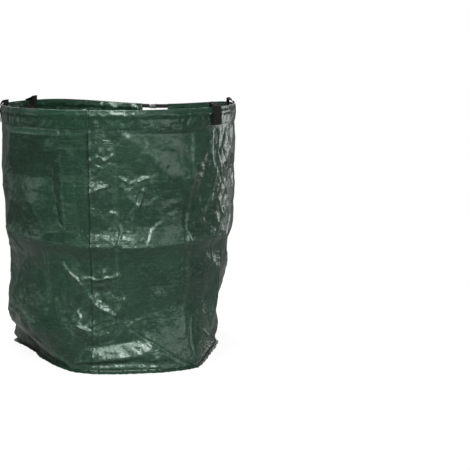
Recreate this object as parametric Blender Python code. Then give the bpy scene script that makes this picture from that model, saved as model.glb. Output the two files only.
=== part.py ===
"""Garden leaf bag: two woven sheet panels on a round base, a sprung hoop in the hem, two webbing handles.

Lengths are in metres and angles in degrees. +Z is up, the origin is the centre of the base on the
ground, the handles face +X and -X, and the front of the bag faces -Y.
Run it with: blender --background --python part.py
"""

import math

import bpy
import bmesh
from mathutils import Matrix, Vector

# Driving sizes of the bag
RIM_RADIUS = 0.335          # middle of the sheet at the hem
RIM_HEIGHT = 0.720          # top of the hem above the ground
SHEET = 0.0008              # woven sheet, drawn a little thicker than the real one
SEAT_GAP = 0.0003           # clearance between pieces that touch

# Hem
HEM_DEPTH = 0.050           # from the top fold to the stitch line
HEM_POCKET_TAPER = 0.010    # length over which the two layers come together under the hoop
FRONT_SEAM_ANGLE = -88.0
BACK_SEAM_ANGLE = 90.0
WINDOW_ANGLE = 86.0         # middle of the opening in the hem, where the hoop is joined
WINDOW_LENGTH = 0.085
BACK_DIP = 0.020            # the hoop sags this much at the window
BACK_DIP_REACH = 62.0       # angle from the window at which the dip has died out

# Hoop and its joint
HOOP_WIDTH = 0.012
HOOP_THICKNESS = 0.0016
HOOP_CLEARANCE = 0.0004
HOOP_OVERLAP = 0.052
HOOP_STEP_LENGTH = 0.015    # length over which the inner end steps behind the outer one
FERRULE_LENGTH = 0.020
FERRULE_WALL = 0.0010

# Seams
LAP = 0.016                 # overlap of the two panels at a side seam
LAP_STEP = 0.004            # length over which the overlap climbs onto the other panel
FLANGE = 0.012              # sewn allowance round the base

# Handles
WEBBING_WIDTH = 0.040
WEBBING = 0.0016            # thickness
HANDLE_HALF_SPREAD = 21.0   # angle from the middle of a handle to each sewn end
TAB_LEAN = 0.017            # above the hem the webbing leans in over the mouth by this much
TAB_RISE = 0.0135           # and rises by this much to the fold that the loop hangs from
FOLD_GAP = 0.0024           # from the fold line to the end of the leaning webbing, so the loop can turn
LOOP_DROP = 0.072           # from the fold line to the lowest point of the loop

# Control net of the standing wall. Each station is an angle round the bag, and each share in its
# row is the radius there as a share of RIM_RADIUS, from the foot to the hem, at these levels.
LEVEL_SHARES = (0.0, 0.08, 0.155, 0.25, 0.37, 0.475, 0.53, 0.585, 0.71, 0.79, 0.86, 1.0)
STATION_SHARES = {
    -169.5: (0.865, 0.890, 0.959, 0.970, 0.955, 0.952, 0.962, 0.982, 1.018, 1.020, 1.015, 1.0),
    -147.5: (0.748, 0.835, 0.971, 0.980, 0.943, 0.952, 0.991, 0.988, 0.990, 0.990, 0.995, 1.0),
    -125.5: (0.775, 0.870, 0.957, 0.959, 0.942, 0.956, 1.000, 0.982, 0.996, 0.988, 0.993, 1.0),
    -95.5: (0.982, 0.981, 0.960, 0.942, 0.955, 0.953, 0.998, 0.979, 0.989, 0.994, 0.996, 1.0),
    -68.5: (0.980, 0.974, 0.935, 0.936, 0.949, 0.961, 1.007, 0.976, 0.981, 0.994, 0.996, 1.0),
    -39.5: (1.042, 1.029, 0.990, 0.969, 0.966, 0.970, 1.005, 0.983, 0.987, 1.009, 1.006, 1.0),
    -21.5: (0.872, 0.897, 0.925, 0.929, 0.937, 0.948, 0.994, 0.984, 0.988, 0.997, 0.999, 1.0),
    -5.5: (0.798, 0.807, 0.840, 0.890, 0.929, 0.948, 0.981, 0.986, 0.990, 0.987, 0.998, 1.0),
    19.5: (0.800, 0.827, 0.830, 0.864, 0.908, 0.929, 0.964, 0.979, 0.995, 1.000, 1.008, 1.0),
    51.5: (0.880, 0.905, 0.905, 0.920, 0.932, 0.957, 0.978, 0.986, 0.996, 0.999, 0.993, 1.0),
    86.5: (0.915, 0.928, 0.935, 0.955, 0.958, 0.969, 0.976, 0.976, 0.988, 0.991, 0.992, 1.0),
    121.5: (0.915, 0.937, 0.950, 0.957, 0.963, 0.968, 0.978, 0.982, 0.988, 0.986, 0.988, 1.0),
    156.5: (0.895, 0.929, 0.951, 0.951, 0.951, 0.964, 0.969, 0.981, 0.999, 0.993, 0.995, 1.0),
    176.5: (0.995, 0.985, 0.978, 0.968, 0.951, 0.952, 0.961, 0.986, 1.018, 1.005, 1.005, 1.0),
}

# Rounded corners of the hem and of its pocket, as shares of their half thickness and of the sheet
CORNER_OUT_SHARE = 0.7
HEM_CORNER_SHARE = 0.3
POCKET_CORNER_SHARE = 0.4
POCKET_FOOT_SHARE = 0.1     # of the sheet, by which the pocket's foot stays open
MITRE_SHARE = 0.5           # least share of a corner's mitre, so that sharp corners stay short

# Where the leaning webbing and the loop change direction, as shares of their lengths
LEAN_SHARES = (0.2, 0.32, 0.45, 0.6, 0.75)
TURNED_SHARE = 0.75         # of the lean by which the webbing lies square to the fold line
LOOP_TWIST_SHARES = (0.2, 0.95)  # of the loop's depth between which the webbing turns to lie flat

WEBBING_SHARES = (-1.0, 0.0, 1.0)  # points across the webbing, as shares of half its width

# How finely curves are cut
COLUMN_STEP = 4.5
HEM_STEP = 6.0
LOOP_STATIONS = 20
FULL_TURN = 360.0

# Sizes that follow from the ones above
HOOP_HALF = HOOP_THICKNESS / 2
POCKET_HALF = HOOP_HALF + HOOP_CLEARANCE
HEM_HALF = POCKET_HALF + SHEET
HOOP_TOP = SHEET + HOOP_CLEARANCE
POCKET_FOOT = HOOP_TOP + HOOP_WIDTH + HOOP_CLEARANCE
FLANGE_LEVEL = SHEET + SEAT_GAP
WALL_FOOT = FLANGE_LEVEL + SHEET / 2
TAB_OUT = HEM_HALF + SEAT_GAP + WEBBING / 2


def arc_angle(length, radius=RIM_RADIUS):
    """The angle that an arc of this length takes at this radius."""
    return math.degrees(length / radius)


def turn_between(angle, other):
    """The signed angle from other to angle, the short way round."""
    return (angle - other + FULL_TURN / 2) % FULL_TURN - FULL_TURN / 2


def mix(a, b, share):
    return a + (b - a) * share


def ease(share):
    """0 to 1 with a soft start and end."""
    share = min(max(share, 0.0), 1.0)
    return share * share * (3 - 2 * share)


def steps(start, end, most):
    """Evenly spaced angles from start to end, no further apart than most."""
    count = max(1, math.ceil(abs(end - start) / most - 1e-6))
    return [mix(start, end, i / count) for i in range(count + 1)]


def window_ends():
    half = arc_angle(WINDOW_LENGTH) / 2
    return WINDOW_ANGLE - half, WINDOW_ANGLE + half


def joint_angle():
    """Middle of the hoop's overlap, which leaves room in the window for the step beside it."""
    return WINDOW_ANGLE + arc_angle(HOOP_STEP_LENGTH) / 2


def ferrule_ends():
    half = arc_angle(FERRULE_LENGTH) / 2
    return joint_angle() - half, joint_angle() + half


def hem_stops(start, end):
    """Every angle at which the hem and what lies in it are cut, so that nested rings stay clear."""
    first, last = math.ceil(start / HEM_STEP), math.floor(end / HEM_STEP)
    marks = [HEM_STEP * i for i in range(first, last + 1)]
    for mark in window_ends() + ferrule_ends() + (FRONT_SEAM_ANGLE,):
        marks += [mark, mark + FULL_TURN]
    closest = arc_angle(SHEET)
    inside = [mark for mark in marks if start + closest < mark < end - closest]
    return [start] + sorted(set(inside)) + [end]


def polar(radius, angle, height):
    turn = math.radians(angle)
    return Vector((radius * math.cos(turn), radius * math.sin(turn), height))


def along_rim(angle):
    turn = math.radians(angle)
    return Vector((-math.sin(turn), math.cos(turn), 0.0))


def rim_top(angle):
    """Height of the top of the hem, which dips towards the window at the back."""
    share = abs(turn_between(angle, WINDOW_ANGLE)) / BACK_DIP_REACH
    return RIM_HEIGHT - BACK_DIP * (1 - ease(share))


def net_radius(angle, level):
    """Radius of the wall at an angle and a share of its height, read from the control net."""
    angle = turn_between(angle, 0.0)
    angles = sorted(STATION_SHARES)
    after = next((a for a in angles if a > angle), angles[0])
    before = angles[angles.index(after) - 1]
    gap = (after - before) % FULL_TURN
    side = ((angle - before) % FULL_TURN) / gap
    upper = next(i for i, share in enumerate(LEVEL_SHARES) if share >= level and i)
    low, high = LEVEL_SHARES[upper - 1], LEVEL_SHARES[upper]
    rise = (level - low) / (high - low)
    at_before = mix(STATION_SHARES[before][upper - 1], STATION_SHARES[before][upper], rise)
    at_after = mix(STATION_SHARES[after][upper - 1], STATION_SHARES[after][upper], rise)
    return RIM_RADIUS * mix(at_before, at_after, side)


def finish(color, roughness, metallic=0.0):
    """A material for each finish, made once."""
    name = f"finish_{color[0]:.3f}_{color[1]:.3f}_{color[2]:.3f}"
    material = bpy.data.materials.get(name) or bpy.data.materials.new(name)
    material.use_nodes = True
    shader = material.node_tree.nodes["Principled BSDF"]
    shader.inputs["Base Color"].default_value = (*color, 1.0)
    shader.inputs["Roughness"].default_value = roughness
    shader.inputs["Metallic"].default_value = metallic
    return material


def woven_sheet():
    return finish((0.030, 0.085, 0.050), 0.30)


def black_webbing():
    return finish((0.012, 0.011, 0.010), 0.85)


def black_strip():
    return finish((0.020, 0.020, 0.020), 0.25)


def bright_steel():
    return finish((0.620, 0.630, 0.630), 0.25, 1.0)


def add_object(name, mesh_data, material, smooth_angle=30.0):
    mesh = bpy.data.meshes.new(name)
    bmesh.ops.recalc_face_normals(mesh_data, faces=mesh_data.faces)
    mesh_data.to_mesh(mesh)
    mesh_data.free()
    mesh.materials.append(material)
    mesh.shade_smooth()
    mesh.set_sharp_from_angle(angle=math.radians(smooth_angle))
    made = bpy.data.objects.new(name, mesh)
    bpy.context.scene.collection.objects.link(made)
    return made


def move_origin(made, point):
    """Give an object its origin at a point without moving its shape."""
    made.data.transform(Matrix.Translation(-point))
    made.location = point


def loft(sections, closed=False):
    """A solid through rings of the same number of points, with flat ends unless it closes on itself.

    Each ring runs along one face of a sheet and back along the other, so its ends are filled between the two.
    Both faces are split along the same diagonals, so that a twisted sheet keeps its thickness.
    """
    data = bmesh.new()
    rings = [[data.verts.new(point) for point in section] for section in sections]
    pairs = list(zip(rings, rings[1:] + rings[:1])) if closed else list(zip(rings, rings[1:]))
    for ring, following in pairs:
        for i in range(len(ring)):
            j = (i + 1) % len(ring)
            if i < len(ring) // 2:
                data.faces.new((ring[i], ring[j], following[j]))
                data.faces.new((ring[i], following[j], following[i]))
            else:
                data.faces.new((ring[i], ring[j], following[i]))
                data.faces.new((ring[j], following[j], following[i]))
    for ring in () if closed else (rings[0], rings[-1]):
        for i in range(len(ring) // 2 - 1):
            data.faces.new((ring[i], ring[i + 1], ring[-2 - i], ring[-1 - i]))
    return data


def band(centres, across, first, last):
    """Webbing along a path. across is the direction of its width at each point.

    first and last are the directions that its ends are cut square to.
    """
    sections = []
    for i, centre in enumerate(centres):
        ahead = centres[min(i + 1, len(centres) - 1)] - centres[max(i - 1, 0)]
        if i == 0:
            ahead = first
        if i == len(centres) - 1:
            ahead = last
        side = (across[i] - ahead * (across[i].dot(ahead) / ahead.length_squared)).normalized()
        face = ahead.cross(side).normalized()
        half_width = side * WEBBING_WIDTH / 2
        half_face = face * WEBBING / 2
        near = [centre + half_width * share + half_face for share in WEBBING_SHARES]
        far = [centre + half_width * share - half_face for share in reversed(WEBBING_SHARES)]
        sections.append(near + far)
    return loft(sections)


def profile_sides(points, thickness):
    """The two faces of a sheet whose middle line is given in a radial plane, with mitred corners."""
    faces = ([], [])
    for i, point in enumerate(points):
        legs = []
        if i:
            legs.append((point - points[i - 1]).normalized())
        if i + 1 < len(points):
            legs.append((points[i + 1] - point).normalized())
        normals = [Vector((leg.y, -leg.x)) for leg in legs]
        middle = sum(normals, Vector((0.0, 0.0))).normalized()
        reach = thickness / 2 / max(middle.dot(normals[0]), MITRE_SHARE)
        faces[0].append(point + middle * reach)
        faces[1].append(point - middle * reach)
    return faces


def wall_profile(angle, lift):
    """Middle line of the wall sheet at one angle, as (radius, height) from the flange to the hem."""
    foot = net_radius(angle, 0.0)
    top = rim_top(angle) - HEM_DEPTH - SEAT_GAP
    line = [Vector((foot + FLANGE, WALL_FOOT + lift)), Vector((foot + lift, WALL_FOOT + lift))]
    for level in LEVEL_SHARES[1:]:
        line.append(Vector((net_radius(angle, level) + lift, mix(WALL_FOOT, top, level))))
    return line


def make_wall_panel(name, start, end):
    """One of the two wall sheets. It laps over its neighbour at its start and under it past its end."""
    lifted = SHEET + SEAT_GAP
    lap_end = start + arc_angle(LAP)
    level_from = lap_end + arc_angle(LAP_STEP)
    columns = [(angle, 0.0) for angle in steps(level_from, end + arc_angle(LAP), COLUMN_STEP)]
    columns = [(start, lifted), (lap_end, lifted)] + columns
    sections = []
    for angle, lift in columns:
        outer, inner = profile_sides(wall_profile(angle, lift), SHEET)
        ring = outer + inner[::-1]
        sections.append([polar(point.x, angle, point.y) for point in ring])
    return add_object(name, loft(sections), woven_sheet())


def make_base_panel():
    data = bmesh.new()
    angles = [COLUMN_STEP * i for i in range(round(FULL_TURN / COLUMN_STEP))]
    rings = []
    for height in (0.0, SHEET):
        rings.append([data.verts.new(polar(net_radius(a, 0.0) + FLANGE, a, height)) for a in angles])
    for i in range(len(angles)):
        j = (i + 1) % len(angles)
        data.faces.new((rings[0][i], rings[0][j], rings[1][j], rings[1][i]))
    data.faces.new(rings[0])
    data.faces.new(rings[1])
    return add_object("base_panel", data, woven_sheet())


def hem_outline():
    """Outside of the folded hem, as (distance outside the hoop, distance below the top)."""
    right = [
        (0.0, 0.0),
        (HEM_HALF * CORNER_OUT_SHARE, SHEET * HEM_CORNER_SHARE),
        (HEM_HALF, HEM_HALF),
        (HEM_HALF, POCKET_FOOT),
        (SHEET, POCKET_FOOT + HEM_POCKET_TAPER),
        (SHEET, HEM_DEPTH),
    ]
    return right + [(-out, down) for out, down in reversed(right[1:])]


def pocket_outline():
    """Inside of the pocket that holds the hoop."""
    right = [
        (POCKET_HALF * CORNER_OUT_SHARE, SHEET),
        (POCKET_HALF, SHEET + POCKET_HALF * POCKET_CORNER_SHARE),
        (POCKET_HALF, POCKET_FOOT),
        (SHEET * POCKET_FOOT_SHARE, POCKET_FOOT + HEM_POCKET_TAPER),
    ]
    return right + [(-out, down) for out, down in reversed(right)]


def make_hem_sleeve(name, start, end):
    """The folded top of one wall sheet: a flat tube of sheet, open at both ends."""
    data = bmesh.new()
    angles = hem_stops(start, end)
    end_edges = []
    for outline in (hem_outline(), pocket_outline()):
        rings = []
        for angle in angles:
            ring = [polar(RIM_RADIUS + out, angle, rim_top(angle) - down) for out, down in outline]
            rings.append([data.verts.new(point) for point in ring])
        for ring, following in zip(rings, rings[1:]):
            for i in range(len(ring)):
                j = (i + 1) % len(ring)
                data.faces.new((ring[i], ring[j], following[j], following[i]))
        end_edges.append([
            [data.edges.get((ring[i], ring[(i + 1) % len(ring)])) for i in range(len(ring))]
            for ring in (rings[0], rings[-1])
        ])
    for outer, inner in zip(*end_edges):
        bmesh.ops.triangle_fill(data, use_beauty=True, use_dissolve=False, edges=outer + inner)
    return add_object(name, data, woven_sheet())


def hoop_path():
    """Angle and inward shift along the hoop, from its outer end right round to its lapped inner end."""
    half = arc_angle(HOOP_OVERLAP) / 2
    start = joint_angle() - half
    end = joint_angle() + half + FULL_TURN
    bend_end = start + FULL_TURN - arc_angle(SEAT_GAP)
    bend_start = bend_end - arc_angle(HOOP_STEP_LENGTH)
    path = [(angle, 0.0) for angle in hem_stops(start, bend_start)]
    path += [(angle, HOOP_THICKNESS + SEAT_GAP) for angle in hem_stops(bend_end, end)]
    return path


def make_hoop_strip():
    middle_down = HOOP_TOP + HOOP_WIDTH / 2
    sections = []
    for angle, inward in hoop_path():
        corners = []
        for out, up in ((1, 1), (-1, 1), (-1, -1), (1, -1)):
            radius = RIM_RADIUS - inward + out * HOOP_HALF
            height = rim_top(angle) - middle_down + up * HOOP_WIDTH / 2
            corners.append(polar(radius, angle, height))
        sections.append(corners)
    return add_object("hoop_strip", loft(sections), black_strip())


def make_hoop_ferrule():
    """The crimped clip round the two lapped ends of the hoop."""
    bore_out = HOOP_HALF + SEAT_GAP
    bore_in = HOOP_HALF + HOOP_THICKNESS + 2 * SEAT_GAP
    bore_high = HOOP_TOP - SEAT_GAP
    bore_low = HOOP_TOP + HOOP_WIDTH + SEAT_GAP
    loops = []
    for angle in ferrule_ends():
        for wall in (FERRULE_WALL, 0.0):
            loops.append([
                polar(RIM_RADIUS + out, angle, rim_top(joint_angle()) - down)
                for out, down in (
                    (bore_out + wall, bore_high - wall),
                    (-bore_in - wall, bore_high - wall),
                    (-bore_in - wall, bore_low + wall),
                    (bore_out + wall, bore_low + wall),
                )
            ])
    outer_near, bore_near, outer_far, bore_far = loops
    data = loft([outer_near, outer_far, bore_far, bore_near], closed=True)
    return add_object("hoop_ferrule", data, bright_steel())


def pivot_of(side):
    """Middle of a handle's fold line. side is +1 for the handle at +X and -1 for the one at -X."""
    across = math.radians(HANDLE_HALF_SPREAD)
    out = (RIM_RADIUS + TAB_OUT) * math.cos(across) - TAB_LEAN
    return Vector((side * out, 0.0, RIM_HEIGHT + TAB_RISE))


def half_chord():
    return (RIM_RADIUS + TAB_OUT) * math.sin(math.radians(HANDLE_HALF_SPREAD))


def make_handle_tab(name, side, end):
    """A sewn end of the webbing: up the outside of the hem, then leaning in until it faces the fold line."""
    angle = (0.0 if side > 0 else FULL_TURN / 2) + side * end * HANDLE_HALF_SPREAD
    sewn = SHEET + SEAT_GAP + WEBBING / 2
    start = polar(RIM_RADIUS + sewn, angle, rim_top(angle) - HEM_DEPTH)
    under_bulge = polar(RIM_RADIUS + TAB_OUT, angle, RIM_HEIGHT - POCKET_FOOT)
    over_hem = polar(RIM_RADIUS + TAB_OUT, angle, RIM_HEIGHT + SEAT_GAP)
    pivot = pivot_of(side) + Vector((0.0, end * half_chord(), 0.0))
    lean = pivot - over_hem
    top = pivot - lean.normalized() * FOLD_GAP
    tangent = along_rim(angle)
    turned = Vector((0.0, side, 0.0))
    centres = [start, under_bulge, over_hem] + [over_hem + lean * share for share in LEAN_SHARES] + [top]
    twist = [mix(tangent, turned, ease(share / TURNED_SHARE)) for share in LEAN_SHARES]
    across = [tangent, tangent, tangent] + twist + [turned]
    strip = band(centres, across, Vector((0.0, 0.0, 1.0)), lean)
    return add_object(name, strip, black_webbing())


def make_handle_loop(name, side):
    """The free loop of a handle, hanging inside the bag from its fold line."""
    pivot = pivot_of(side)
    inward = Vector((-side, 0.0, 0.0))
    down = Vector((0.0, 0.0, -1.0))
    along = Vector((0.0, side, 0.0))
    centres, across = [], []
    twist_start, twist_end = LOOP_TWIST_SHARES
    for i in range(LOOP_STATIONS + 1):
        turn = math.pi * i / LOOP_STATIONS
        centres.append(pivot + along * half_chord() * math.cos(turn) + down * LOOP_DROP * math.sin(turn))
        facing = ease((math.sin(turn) - twist_start) / (twist_end - twist_start))
        across.append(mix(along * math.copysign(1.0, math.cos(turn)), inward, facing))
    strip = band(centres, across, down, -down)
    loop = add_object(name, strip, black_webbing())
    move_origin(loop, pivot)
    return loop


def clear_scene():
    for leftover in list(bpy.data.objects):
        bpy.data.objects.remove(leftover)


def main():
    clear_scene()
    make_base_panel()
    make_wall_panel("wall_panel_right", FRONT_SEAM_ANGLE, BACK_SEAM_ANGLE)
    make_wall_panel("wall_panel_left", BACK_SEAM_ANGLE, FRONT_SEAM_ANGLE + FULL_TURN)
    window_start, window_end = window_ends()
    make_hem_sleeve("hem_sleeve_right", FRONT_SEAM_ANGLE + arc_angle(SEAT_GAP), window_start)
    make_hem_sleeve("hem_sleeve_left", window_end, FRONT_SEAM_ANGLE + FULL_TURN)
    make_hoop_strip()
    make_hoop_ferrule()
    for side, where in ((1, "right"), (-1, "left")):
        make_handle_loop(f"handle_{where}_loop", side)
        for end in (1, -1):
            place = "rear" if end > 0 else "front"
            make_handle_tab(f"handle_{where}_{place}_tab", side, end)


main()
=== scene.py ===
"""The look of the garden leaf bag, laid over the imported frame.

Creased laminated sheet, a hem round a sprung hoop, webbing handles and the seams' threads.
"""

import math
from contextlib import contextmanager

import bmesh
import bpy
import numpy as np
from bpy.props import FloatProperty, FloatVectorProperty, IntProperty, PointerProperty
from bpy.types import Operator, Panel, PropertyGroup
from mathutils import Matrix, Vector, geometry
from mathutils.bvhtree import BVHTree


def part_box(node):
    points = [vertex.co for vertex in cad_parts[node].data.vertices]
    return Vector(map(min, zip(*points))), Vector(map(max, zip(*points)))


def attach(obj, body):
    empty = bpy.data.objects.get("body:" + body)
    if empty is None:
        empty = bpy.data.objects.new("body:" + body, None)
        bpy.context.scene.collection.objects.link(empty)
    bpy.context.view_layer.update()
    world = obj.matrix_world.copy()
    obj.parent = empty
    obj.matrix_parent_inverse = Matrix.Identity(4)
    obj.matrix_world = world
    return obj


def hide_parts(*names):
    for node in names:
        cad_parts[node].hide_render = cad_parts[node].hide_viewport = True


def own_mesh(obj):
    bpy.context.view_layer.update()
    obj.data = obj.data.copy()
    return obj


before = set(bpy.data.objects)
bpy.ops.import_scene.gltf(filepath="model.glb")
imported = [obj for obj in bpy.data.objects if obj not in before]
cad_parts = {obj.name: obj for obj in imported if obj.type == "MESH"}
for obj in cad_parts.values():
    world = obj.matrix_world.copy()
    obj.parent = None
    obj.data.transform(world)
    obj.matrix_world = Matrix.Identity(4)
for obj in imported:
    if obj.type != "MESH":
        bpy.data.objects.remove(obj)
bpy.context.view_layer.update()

bl_info = {
    "name": "Garden leaf bag",
    "version": (1, 0, 0),
    "blender": (4, 5, 0),
    "location": "View3D > Sidebar > Leaf bag",
    "description": "Dresses the packed leaf bag with creased sheet, hem, hoop, webbing and threads",
    "category": "Object",
}

# Sizes that the part's source also has, in metres and degrees
RIM_RADIUS = 0.335
RIM_HEIGHT = max(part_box(side)[1].z for side in ("hem_sleeve_right", "hem_sleeve_left"))
SHEET = 0.0008
SEAT_GAP = 0.0003
HEM_DEPTH = 0.050
FRONT_SEAM_ANGLE = -88.0
BACK_SEAM_ANGLE = 90.0
WINDOW_ANGLE = 86.0
WINDOW_LENGTH = 0.085
BACK_DIP = 0.020
BACK_DIP_REACH = 62.0
LAP = 0.016
FLANGE = 0.012
HOOP_WIDTH = 0.012
HOOP_THICKNESS = 0.0016
HOOP_CLEARANCE = 0.0004
HOOP_OVERLAP = 0.052
HOOP_STEP_LENGTH = 0.015
FERRULE_LENGTH = 0.020
FERRULE_WALL = 0.0010
WEBBING_WIDTH = 0.040
WEBBING = 0.0016
HANDLE_HALF_SPREAD = 21.0
TAB_LEAN = 0.017
TAB_RISE = 0.0135
FOLD_GAP = 0.0024
LOOP_DROP = 0.072

# Sizes that follow
FULL_TURN = 360.0
HOOP_HALF = HOOP_THICKNESS / 2
POCKET_HALF = HOOP_HALF + HOOP_CLEARANCE
HEM_HALF = POCKET_HALF + SHEET
HOOP_TOP = SHEET + HOOP_CLEARANCE
POCKET_FOOT = HOOP_TOP + HOOP_WIDTH + HOOP_CLEARANCE
TAB_OUT = HEM_HALF + SEAT_GAP + WEBBING / 2
WALL_FOOT = 1.5 * SHEET + SEAT_GAP
WALL_HEIGHT = RIM_HEIGHT - HEM_DEPTH - SEAT_GAP - WALL_FOOT
GIRTH = 2 * math.pi * RIM_RADIUS
FRONT_TO_FRONT = FRONT_SEAM_ANGLE + FULL_TURN

# Sizes that only the drawn sheet has
HEM_BULGE = HEM_HALF + 0.0022   # the loose outer layer stands a little off the hoop
SEAM_LEVEL = 0.0085             # height of the base seam above the ground
FIRST_ROW_LIFT = 0.004          # the frame is first measured this far above its flange
THREAD_LIFT = 0.0006            # middle of a thread above its sheet

# The grid on which the wall is drawn: columns round the bag and rows up it
COLUMNS, ROWS, FLANGE_ROWS = 720, 250, 5
COLUMN_TURN = FULL_TURN / COLUMNS
COLUMN_STEP = GIRTH / COLUMNS
ROW_STEP = WALL_HEIGHT / ROWS

# The bag in the photograph, in pixels
IMAGE_SIZE = 470
BAG_AXIS_X, BAG_HALF_WIDTH = 118.0, 114.0
BAG_FOOT_Y, BAG_TOP_Y = 371.0, 110.0
EDGE_SHARE = 0.985              # of the half width, up to which a pixel is placed on the wall
MM = 0.001

# Layers of chance crumples: seed, how much finer and how much lower than the largest
CRUMPLE_LAYERS = ((11, 1.0, 1.0), (12, 2.4, 2.6), (13, 5.0, 6.0))
# The same for the hem: seed, share of the largest size, strength
HEM_LAYERS = ((21, 0.60, 1.0), (22, 0.25, 0.5))
PATCH_SEED, PATCH_SIZE = 31, 0.11   # more and less crumpled patches of the back
RIGHT_HEM_SEED, LEFT_HEM_SEED = 41, 42

# Folds that the bag keeps from its packet, behind the seen front: shares of the height, and degrees
STORAGE_LEVELS = {0.27: 0.5, 0.47: 1.0, 0.72: 0.5}
STORAGE_START, STORAGE_END = 20.0, 190.0
STORAGE_ANGLES = (22.0, 45.0, 66.0, 112.0, 134.0, 158.0, 180.0)
BACK_MIDDLE, BACK_HALF = 100.0, 95.0
GATHER_COUNTS = (53, 71, 97, 118, 149)

# Folds of the front, as photo pixels (x, y) and how far they stand out of the wall in millimetres
FOLD_LINES = {
    "middle_fold": (
        (6, 228, 4), (25, 236, 6), (43, 240, 6), (66, 244, 3), (88, 248, 4), (104, 249, 4),
        (120, 248, 1), (135, 249, 4), (160, 247, 5), (188, 242, 7), (205, 240, 3), (227, 234, 2)
    ),
    "under_fold": (
        (10, 240, 3), (43, 250, 4), (88, 258, 4), (110, 259, 2), (135, 259, 4), (165, 257, 5),
        (200, 252, 4)
    ),
    "upper_left_fold": ((14, 131, 7), (36, 130, 8), (57, 129, 7)),
    "upper_fold": ((14, 175, -9), (34, 178, -10), (49, 179, -9)),
    "left_pleat": (
        (59, 129, 4), (61, 150, 8), (62, 175, 10), (64, 205, 11), (66, 230, 10), (67, 243, 5)
    ),
    "dark_band": ((50, 181, -8), (54, 200, -7), (58, 222, -3)),
    "left_sheen": ((22, 208, 2), (36, 212, 5), (47, 232, 9)),
    "pocket_side": ((70, 246, 4), (73, 280, 3)),
    "slanted_facet": ((122, 133, 1), (144, 150, 6), (164, 172, 9)),
    "upper_right_fold": ((166, 174, 8), (193, 178, 6)),
    "pale_facet_top": ((131, 130, -2), (148, 133, -6), (168, 134, -7), (190, 134, -6)),
    "dark_facet_foot": ((116, 177, -3), (136, 177, -3), (158, 177, 0)),
    "bright_triangle": ((121, 180, -2), (138, 206, 7), (156, 180, 1)),
    "left_corner_fold": (
        (71, 367, 3), (58, 355, 9), (44, 339, 13), (34, 322, 14), (24, 309, 12), (13, 297, 8)
    ),
    "left_recess": ((66, 368, -4), (50, 360, -13), (36, 352, -18), (27, 344, -18), (17, 331, -4)),
    "left_foot": (
        (11, 316, 9), (13, 325, 10), (12, 336, 20), (22, 345, 7), (40, 355, 0), (56, 364, 0)
    ),
    "right_corner_fold": (
        (193, 369, 3), (197, 355, 8), (207, 329, 11), (214, 298, 10), (217, 266, 7)
    ),
    "right_recess": ((200, 362, -7), (206, 348, -13), (210, 336, -10)),
    "right_foot": ((212, 325, 2), (215, 330, 7), (213, 347, 8), (202, 364, 3)),
    "foot_top": ((84, 348, -5), (104, 347, -6), (124, 344, -6), (140, 341, -3)),
    "foot_bulge": ((82, 361, 6), (100, 360, 11), (120, 358, 11), (142, 355, 8), (160, 358, 4)),
    "foot_valley": ((82, 365, 0), (110, 364, 0), (135, 362, 1), (158, 365, 0)),
    "foot_ridge": ((78, 370, 7), (100, 369, 9), (130, 368, 8), (150, 369, 7), (178, 371, 4)),
    "pocket_foot": (
        (66, 266, 3), (74, 277, 6), (82, 285, 7), (92, 279, 4), (106, 279, 4), (118, 275, 6)
    ),
    "chevron": ((124, 299, 5), (120, 307, 7), (115, 315, 10)),
    "chevron_left": ((89, 296, 2), (98, 306, 5), (115, 315, 10)),
    "tuck": ((130, 329, 3), (153, 343, 4), (176, 358, 2)),
}
FOLD_SPOTS = (
    (100, 226, -1), (110, 238, 0), (128, 230, 0), (180, 224, 3), (205, 222, -2), (30, 190, -3),
    (20, 196, -3), (78, 264, -3), (43, 272, -1), (20, 268, -1), (190, 150, 0), (176, 150, 1),
    (130, 166, -3), (119, 150, 1), (108, 168, -4), (92, 168, -3), (100, 150, 3), (100, 176, 0),
    (38, 150, 2), (22, 150, 1), (74, 150, 3), (74, 180, 1), (76, 210, 1), (80, 236, 0),
    (104, 204, -1), (97, 190, 3), (88, 336, 4), (110, 334, 5), (140, 332, 4), (79, 308, -10),
    (71, 296, 3), (88, 312, 2), (84, 325, 4), (69, 320, 4), (97, 292, -7), (110, 290, -5),
    (103, 300, -2), (103, 320, 4), (90, 318, -4), (126, 318, 1), (82, 292, 4), (119, 226, -1),
    (132, 224, 2), (131, 240, 2), (121, 243, 0), (160, 222, 3), (150, 229, -3), (146, 241, 1),
    (165, 236, 3), (150, 300, 1), (160, 318, -2), (175, 300, 0), (176, 335, 3), (204, 300, -3),
    (196, 280, 0), (40, 290, 0), (30, 275, -1), (55, 300, 3), (52, 330, 10), (30, 300, 4),
    (112, 200, -2), (152, 206, 1), (172, 200, 2), (200, 190, -6), (208, 215, -5), (196, 236, 1),
    (208, 150, 2), (145, 275, 0), (180, 275, 1), (60, 282, -2), (162, 190, 3), (185, 192, 3),
)

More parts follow.
